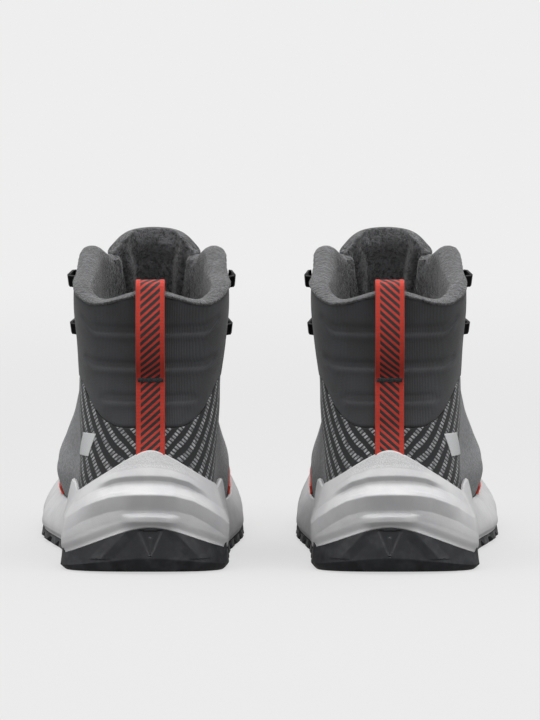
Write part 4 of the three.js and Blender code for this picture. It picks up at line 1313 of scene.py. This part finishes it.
def midsole():
    """The rings of the foam, and which of them are its outer wall."""
    u = ROUND
    top = foam_top(u)
    bottom = rubber_top(u) + 0.3
    top_level = level_at(u, top)
    flare = 1.4 * fin(u)
    crest = skin(top_level, u, CUP_GAP + CUP_WALL + flare)
    rows = np.concatenate([np.linspace(0, 0.06, 4), np.linspace(0.075, 0.97, 92), np.linspace(0.98, 1, 4)])
    v = rows[:, None]
    z = lerp(bottom[None, :], top[None, :], v)
    blend = np.clip((v - 0.22) / 0.78, 0, 1) ** 1.6
    inset = lerp(1.3, 0.0, ease(0, 0.16, v)) * np.ones(SOLE_STEPS)
    outer = sole_plan(np.broadcast_to(u, inset.shape), inset)
    plan = outer + (crest[None, :, :2] - outer) * blend[..., None]
    edge = sole_edge(u)
    along = np.roll(edge, -1, 0) - np.roll(edge, 1, 0)
    out = np.stack([along[:, 1], -along[:, 0]], -1)
    out /= np.linalg.norm(out, axis=1, keepdims=True)
    away = np.einsum("ij,ij->i", out, edge - sole_spine(u)) < 0
    out[away] *= -1
    relief = wall_sculpt(np.broadcast_to(u, z.shape), z) * ease(0, 0.05, v) * (1 - ease(0.9, 1.0, v))
    wall = with_height(plan + out[None] * relief[..., None], z)
    rim = []
    for share in (0.25, 0.5, 0.75, 1.0):
        turn = np.pi * share
        offset = CUP_GAP + (CUP_WALL + flare) * (1 + np.cos(turn)) / 2
        spot = skin(top_level, u, offset)
        spot[:, 2] = top + (0.9 + 1.6 * fin(u)) * np.sin(turn)
        rim.append(spot)
    cup = [skin(top_level * share, u, CUP_GAP + 0.4 * np.sin(np.pi * share))
           for share in (0.8, 0.6, 0.4, 0.2, 0.0)]
    corner = surface(np.zeros(SOLE_STEPS), u)
    corner[:, 2] = underfoot(corner[:, 1]) - CLEARANCE
    spine = sole_spine(u)
    floor = with_height(spine, underfoot(spine[:, 1]) - CLEARANCE)
    under = with_height(spine, plate_top(spine[:, 1]) + CLEARANCE)
    plate = sole_share(u, PLATE_SHARE)
    bond = [with_height(plate, plate_top(plate[:, 1]) + CLEARANCE)]
    for inset, high in ((6.4, 0.15), (3.6, 0.6), (1.6, 1.0)):
        spot = sole_plan(u, np.full(u.shape, inset))
        level_with = plate_top(spot[:, 1])
        rise = lerp(level_with, np.maximum(level_with, rubber_top(u)), high) + CLEARANCE
        bond.append(with_height(spot, np.minimum(rise, bottom - 0.02)))
    rings = np.stack([under, *bond, *wall, *rim, *cup, corner, floor])
    return rings, len(bond) + 1, len(rows)


def ring_solid(rings):
    """A closed mesh from rings that run from one middle to the other, each middle on a short line."""
    count, steps = rings.shape[:2]
    points = rings.reshape(-1, 3)
    faces = [grid_faces(count, steps, wrap=True)]
    half = steps // 2
    for ring, turn in ((0, False), (count - 1, True)):
        base = ring * steps
        quads = []
        for k in range(half - 1):
            a, b = base + k, base + k + 1
            c, d = base + (steps - 1 - k - 1), base + (steps - 1 - k)
            quads.append([a, b, c, d] if turn else [d, c, b, a])
        faces.append(np.array(quads))
    faces = np.concatenate(faces)
    return points, faces


rings, first_wall, wall_rows = midsole()
points, faces = ring_solid(rings)
line_u = np.tile(ROUND, len(rings))
x_edge = np.abs(sole_edge(line_u)[:, 0])
row = np.repeat(np.arange(len(rings)), SOLE_STEPS)
on_wall = (row >= first_wall) & (row < first_wall + wall_rows)
# The textured band high on the heel: its grain is bumped, and the low spots of the grain get painted shade.
pitted_from = ridge_height(line_u) + PITTED_ABOVE_RIDGE - 0.04 * x_edge
at_heel = 1 - ease(20, 34, x_edge + 2 * np.maximum(points[:, 1] - 20, 0))
speckle = on_wall * ease(pitted_from - 0.5, pitted_from + 0.5, points[:, 2]) * at_heel
pair("foam_midsole", points, facing_out(points, faces), FOAM, "foam", ["midsole"], sharp=38, speckle=speckle)


# ------------------------------------------------------------------ the rubber outsole
NOTCH_PERIOD = 24.0


def arc_of_sole():
    """Distance along the sole's edge from the back of the heel."""
    edge = sole_edge(ROUND)
    steps = np.linalg.norm(np.diff(edge, axis=0, append=edge[:1]), axis=1)
    run = np.concatenate([[0], np.cumsum(steps)])[:-1]
    return run - np.interp(0, ROUND, run)


def outsole():
    """The rings of the rubber: inside, wall with its heel motif and notches, and tread."""
    u = ROUND
    edge = sole_edge(u)
    x, y = edge[:, 0], edge[:, 1]
    top = rubber_top(u) + tooth(u)
    run = arc_of_sole()
    phase = np.abs((run / NOTCH_PERIOD) % 1 - 0.5) * NOTCH_PERIOD
    notch = (1 - ease(4.2, 5.4, phase)) * ease(40, 48, y)
    low = ground(y)
    lift = notch * (LUG_HEIGHT - 0.6)
    f = np.concatenate([
        np.linspace(1, 0.97, 3), np.linspace(0.94, 0.32, 26), np.linspace(0.3, 0.02, 12), [0.0]])[:, None]
    z = lerp((low + lift)[None], top[None], f)
    inset = np.where(f > 0.3, lerp(-0.25, 0.55, (f - 0.3) / 0.7), lerp(2.6, -0.25, (f / 0.3) ** 0.8))
    across = np.abs(x)[None]
    heel_side = (y < 12)[None]
    chevron = np.maximum(0, 1 - across / np.maximum(8 * (z - 9) / 16, 0.01))
    middle_bar = np.exp(-(x[None] / 0.7) ** 2) * heel_side * (z > 10) * (z < 20)
    facet = np.maximum(0, 1 - np.abs(across - 27 + 0.9 * (z - 7)) / 6.5) * heel_side * (z > 7.6)
    scallop = np.maximum(0, 1 - ((across - 18) / 4.5) ** 2) * heel_side * np.maximum(0, 1 - (f / 0.26) ** 2)
    inset = inset + 1.6 * notch[None]
    inset = inset + 0.7 * ease(0.0, 0.25, chevron) * heel_side * (z > 9.5) * (z < 23.4)
    inset = inset - 0.6 * middle_bar - 0.55 * facet + 1.8 * scallop
    plan = sole_plan(np.broadcast_to(u, inset.shape), inset)
    wall = with_height(plan, z)
    tread = []
    for past_rim, rise in ((3.6 - RIM_WIDTH, 0.0), (-0.6, 0.0), (0.0, 0.5), (0.4, 3.4), (1.2, 4.0)):
        spot = sole_plan(u, np.full(u.shape, RIM_WIDTH + past_rim))
        lowest = np.maximum(rise, lift * (past_rim < 0.2))
        tread.append(with_height(spot, ground(spot[:, 1]) + lowest))
    for share in (0.5, 0.25, 0.0):
        spot = sole_share(u, share)
        tread.append(with_height(spot, ground(spot[:, 1]) + LUG_HEIGHT))
    spine = sole_spine(u)
    above = [with_height(spine, outsole_top(spine[:, 1]))]
    spot = sole_share(u, PLATE_SHARE + 0.02)
    above.append(with_height(spot, outsole_top(spot[:, 1])))
    for inset_mm, high in ((6.0, 0.15), (3.2, 0.6), (1.5, 0.97)):
        spot = sole_plan(u, np.full(u.shape, inset_mm))
        rise = lerp(plate_top(spot[:, 1]), np.maximum(plate_top(spot[:, 1]), top), high)
        above.append(with_height(spot, np.minimum(rise, top - 0.05)))
    return np.stack([*above, *wall, *tread])


points, faces = ring_solid(outsole())
pair("rubber_outsole", points, facing_out(points, faces), RUBBER_SKIN, "rubber", ["outsole"], sharp=32)

# Tread bars: place along the sole, half width, and which way the chevron points.
LUG_ROWS = [(34, 20, -1), (56, 20, -1), (150, 26, 1), (172, 30, 1), (196, 30, 1), (220, 26, 1)]
LUG_BAR = 8.0


def lug(y, reach, aim):
    """A chevron bar with sloping sides."""
    t = np.arccos(1 - 2 * (y - SOLE_REAR) / (SOLE_FRONT - SOLE_REAR))
    middle = sole_spine(np.array([t]))[0, 0]
    tip, tail = aim * 3, -aim * 7
    near = [(-reach, tail), (0, tip), (reach, tail)]
    far = [(reach, tail + LUG_BAR), (0, tip + LUG_BAR), (-reach, tail + LUG_BAR)]
    outline = np.array(near + far, float)
    centre = np.array([0, LUG_BAR / 2 - aim * 2.0])
    layers = []
    for shrink, rise in ((0.97, 0.0), (1.0, 0.5), (1.04, LUG_HEIGHT + 0.2)):
        plan = centre + (outline - centre) * [1 - (1 - shrink) * 0.6, shrink ** 4]
        plan = plan + [middle, y - LUG_BAR / 2]
        layers.append(with_height(plan, ground(plan[:, 1]) + rise))
    points = np.concatenate(layers)
    faces = [grid_faces(3, 6, wrap=True)]
    for base, turn in ((0, False), (12, True)):
        quads = np.array([[0, 1, 4, 5], [1, 2, 3, 4]]) + base
        faces.append(quads if not turn else quads[:, ::-1])
    faces = np.concatenate(faces)
    return points, faces


lug_points, lug_faces = [], []
for row in LUG_ROWS:
    made_points, made_faces = lug(*row)
    if loose_edges(made_faces):
        made_faces[-4:] = made_faces[-4:, ::-1]
    lug_faces.append(facing_out(made_points, made_faces) + sum(len(p) for p in lug_points))
    lug_points.append(made_points)
pair("tread_lugs", np.concatenate(lug_points), np.concatenate(lug_faces), RUBBER_SKIN, "rubber", sharp=30)


# ------------------------------------------------------------------ the footbed
FOOTBED_TOP = 6.7  # above the lasting board's underside
FOOTBED_UNDER = 1.75
# Share of the way from the middle to the rim, and lift there.
FOOTBED_UPPER = [(0, 0), (0.2, 0), (0.4, 0), (0.6, 0.2), (0.75, 0.6), (0.86, 1.4), (0.94, 2.3), (0.98, 2.9),
                 (1, 2.8)]
FOOTBED_LOWER = [(1.0, 0.3), (0.98, 0.0), (0.75, 0), (0.4, 0), (0, 0)]


def footbed():
    """The rings of the removable footbed, cupped at its rim."""
    steps = 200
    u = -np.pi + 2 * np.pi * np.arange(steps) / steps
    edge = surface(np.zeros(steps), u)
    spine = with_height(sole_spine(u), edge[:, 2])
    reach = np.linalg.norm(edge - spine, axis=1, keepdims=True)
    rim = edge + (spine - edge) * ((LINING + 5.4 + 1.0) / reach)
    rings = []
    for height, profile in ((FOOTBED_TOP, FOOTBED_UPPER), (FOOTBED_UNDER, FOOTBED_LOWER)):
        for share, lift in profile:
            spot = spine + (rim - spine) * share
            spot[:, 2] = underfoot(spot[:, 1]) + height + lift
            rings.append(spot)
    return np.stack(rings)


points, faces = ring_solid(footbed())
pair("shaped_footbed", points, facing_out(points, faces), FOOTBED, "footbed", ["footbed"], body="footbed",
     sharp=50)


# ------------------------------------------------------------------ the heel strap and its pull loop
def strap_line():
    """The strap's middle line in plan of depth and height: up the heel, out, over and in."""
    zero = np.array(0.0)
    tack = float(level_at(zero, np.array(STRAP_TACK)))
    top = float(collar_top(zero))
    start = float(level_at(zero, np.array(HEEL_PEAK - 4.5)))

    def rear(level, offset):
        return skin(np.array(level), zero, offset)[1:]

    def proud(level):
        return 0.0 if level < COLLAR_BACK else float(collar_puff(np.array(level), zero))

    line = []
    for k in range(6):
        level = lerp(start, tack, k / 5)
        line.append(rear(level, proud(level) + 0.6 + STRAP_THICKNESS / 2))
    for share in (0.25, 0.5, 0.75):
        level = lerp(tack, top, share)
        line.append(rear(level, proud(level) + 1.3 + STRAP_STAND_OFF * np.sin(np.pi * share) ** 0.7))
    rim = rear(top, 0.0)
    inside = -(COLLAR_PADDING + LINING + 2.25 + STRAP_THICKNESS)
    line += [rim + [-2.8, 2.2], rim + [0.5, 5.6], rim + [4.4, 6.1], rim + [-inside, 2.4]]
    line += [rear(top - 0.35, inside - 0.6), rear(top - 1.1, inside)]
    return smooth_path(line, 260)


def strap():
    """The strap with its selvedges, its pattern coordinates, its line and the way out of it."""
    line = strap_line()
    run = run_along(line)
    ahead = np.gradient(line, axis=0)
    ahead /= np.linalg.norm(ahead, axis=1, keepdims=True)
    out = np.stack([-ahead[:, 1], ahead[:, 0]], -1)
    half = STRAP_WIDTH / 2
    across = spaced(24, 0.5, STRAP_WIDTH, 3) - half
    near = np.maximum(0, 0.5 - (half - np.abs(across)))
    drop = 0.5 - np.sqrt(np.maximum(0, 0.25 - near**2))
    selvedge = 0.16 * ease(half - 2.6, half - 2.2, np.abs(across))
    ends = []
    for turn in (1, -1):
        height = turn * (STRAP_THICKNESS / 2 - drop + selvedge)
        plan = line[:, None, :] + out[:, None, :] * height[None, :, None]
        x = np.broadcast_to(across, plan.shape[:2])
        ends.append(np.stack([x, plan[..., 0], plan[..., 1]], -1))
    points, faces = close_sheet(*ends)
    size = ends[0].shape[:2]
    cloth = np.stack([np.broadcast_to(across, size), np.broadcast_to(run[:, None], size), np.zeros(size)], -1)
    cloth = cloth.reshape(-1, 3)
    return points, faces, np.concatenate([cloth, cloth]), line, out


points, faces, cloth, line, out = strap()
pair("pull_strap", points, faces, STRAP, "strap", ["heel_strap"], cloth=cloth)


def bartack():
    """Close zigzag stitches across the strap."""
    near = np.argmin(np.abs(line[:120, 1] - (STRAP_TACK - 0.4)))
    centre, way_out = line[near], out[near]
    ahead = np.array([-way_out[1], way_out[0]])
    threads = []
    for k in range(26):
        x = lerp(-STRAP_WIDTH / 2 + 1.2, STRAP_WIDTH / 2 - 1.2, k / 25)
        t = np.linspace(-1, 1, 7)
        plan = centre + np.outer(1.3 * t, -ahead) + np.outer(0.72 + 0.34 * (1 - t * t), way_out)
        threads.append(np.stack([x + 0.3 * t, plan[:, 0], plan[:, 1]], -1))
    return tubes(threads, 0.34)


points, faces = bartack()
pair("strap_bartack", points, faces, THREAD, "strap")


# ------------------------------------------------------------------ reflective tab, loops and hooks
def tab_at(a, b):
    """The reflective tab's grid, on the lateral side of the heel."""
    level = lerp(2.05, 3.0, b)
    u = lerp(29.0, 40.0, a) * DEG + 0.03 * (1 - b)
    return level, u


points, faces, level, u = cloth_shell(tab_at, 16, 30, 0.42, 0.02, 0.19)
pair("reflective_tab", points, faces, TAB, "overlay", cloth=pattern(level, u))


def from_cad(node, name, material, bevel, segments=2, reach=0.0):
    """A bevelled piece in the place and shape of a CAD node, its outer end `reach` further out."""
    source = frame["nodes"][node]
    obj = bpy.data.objects.new(name, source.data.copy())
    if reach:
        count = len(obj.data.vertices)
        spots = np.zeros(count * 3)
        obj.data.vertices.foreach_get("co", spots)
        spots = spots.reshape(-1, 3)
        x = spots[:, 0] - np.sign(spots[:, 0]) * HALF_SPACING / 1000
        share = (np.abs(x) - np.abs(x).min()) / np.ptp(np.abs(x))
        spots[:, 0] += np.sign(x) * share * reach / 1000
        obj.data.vertices.foreach_set("co", spots.ravel())
    bpy.context.scene.collection.objects.link(obj)
    obj.data.materials.clear()
    obj.data.materials.append(material)
    weld = obj.modifiers.new("Weld", "WELD")
    weld.merge_threshold = 0.00002
    made = obj.modifiers.new("Edges", "BEVEL")
    made.width = bevel / 1000
    made.segments = segments
    made.limit_method = "ANGLE"
    made.angle_limit = 35 * DEG
    obj.data.polygons.foreach_set("use_smooth", [True] * len(obj.data.polygons))
    side = node.split("_")[0]
    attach(obj, f"{side}_boot")
    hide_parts(node)


HOOK_REACH = {("lateral", 1): 4.2, ("lateral", 2): 2.6, ("medial", 1): 1.2, ("medial", 2): 0.3}
for boot in SIDES:
    for label in ("lateral", "medial"):
        for number in (1, 2, 3):
            node = f"{boot}_lace_loop_{label}_{number}"
            from_cad(node, f"{boot}_webbing_loop_{label}_{number}", LOOPS, 0.3)
        for number in (1, 2):
            node = f"{boot}_lace_hook_{label}_{number}"
            reach = HOOK_REACH[label, number]
            from_cad(node, f"{boot}_speed_hook_{label}_{number}", METAL, 0.3, reach=reach)
    for node, material in (("rocker_plate", PLATE), ("lasting_board", BOARD),
                           ("heel_counter", STIFFENER), ("toe_puff", STIFFENER)):
        hidden = frame["nodes"][f"{boot}_{node}"]
        for k in range(len(hidden.data.materials)):
            hidden.material_slots[k].material = material


# ------------------------------------------------------------------ floor, light and camera
def backdrop():
    """A pale floor that curves up into a wall far behind the boots."""
    run = [(-6.0, 0.0), (3.0, 0.0)]
    run += [(3.0 + 2.0 * np.sin(t), 2.0 - 2.0 * np.cos(t)) for t in np.linspace(0.05, np.pi / 2, 24)]
    run += [(5.0, 6.0)]
    points = np.array([[x, y, z] for y, z in run for x in (-6.0, 6.0)])
    faces = grid_faces(len(run), 2)
    obj = make_object("studio_floor", points, faces, {}, 0)
    s = Shader("studio_floor_paint", 0x6A6A6A, 1.0, Specular_IOR_Level=0.0)
    depth = s.node("ShaderNodeSeparateXYZ", {0: s.coordinates}).outputs[1]
    s.colour(s.mix(s.ramp(depth, 0.2, 2.2), 0x6A6A6A, 0x000000))
    s.tree.links.new(s.ramp(depth, 0.2, 2.2, 0.59, 0.855), s.bsdf.inputs["Emission Strength"])
    s.bsdf.inputs["Emission Color"].default_value = (1, 1, 1, 1)
    obj.data.materials.append(s.material)
    obj.visible_diffuse = False
    obj.visible_glossy = False


backdrop()

studio = bpy.data.worlds.new("studio")
bpy.context.scene.world = studio
studio.use_nodes = True
sky = studio.node_tree
direction = sky.nodes.new("ShaderNodeTexCoord").outputs["Generated"]
height = sky.nodes.new("ShaderNodeSeparateXYZ")
sky.links.new(direction, height.inputs[0])
rise = sky.nodes.new("ShaderNodeMapRange")
rise.interpolation_type = "SMOOTHSTEP"
for key, value in (("From Min", -0.35), ("From Max", 0.75), ("To Min", 0.16), ("To Max", 1.05)):
    rise.inputs[key].default_value = value
sky.links.new(height.outputs[2], rise.inputs["Value"])
sky.links.new(rise.outputs[0], sky.nodes["Background"].inputs["Strength"])
sky.nodes["Background"].inputs["Color"].default_value = (1, 1, 1, 1)


def lamp(name, spot, aim, size, power):
    """A rectangular soft light."""
    light = bpy.data.lights.new(name, "AREA")
    light.shape = "RECTANGLE"
    light.size, light.size_y = size
    light.energy = power
    obj = bpy.data.objects.new(name, light)
    obj.location = spot
    obj.rotation_mode = "QUATERNION"
    obj.rotation_quaternion = (Vector(aim) - Vector(spot)).to_track_quat("-Z", "Y")
    bpy.context.scene.collection.objects.link(obj)


lamp("overhead_softbox", (0, -0.5, 2.2), (0, -0.05, 0), (1.8, 1.4), 34)
lamp("left_softbox", (-1.8, -1.3, 1.0), (0, 0, 0.08), (0.9, 1.4), 9)
lamp("right_softbox", (1.8, -1.3, 1.0), (0, 0, 0.08), (0.9, 1.4), 9)
bpy.context.scene.view_settings.view_transform = "Standard"

camera = bpy.data.cameras.new("camera")
camera.lens = 302.1
camera.sensor_width = 36
camera.clip_start = 0.05
camera.clip_end = 60
camera_object = bpy.data.objects.new("camera", camera)
bpy.context.scene.collection.objects.link(camera_object)
ELEVATION = 4.7 * DEG
DISTANCE = 3.2
AIM = Vector((0, -0.145, 0.114))
away = Vector((0, -np.cos(ELEVATION), np.sin(ELEVATION)))
camera_object.location = AIM + away * DISTANCE
camera_object.rotation_mode = "QUATERNION"
camera_object.rotation_quaternion = (-away).to_track_quat("-Z", "Y")
bpy.context.scene.camera = camera_object
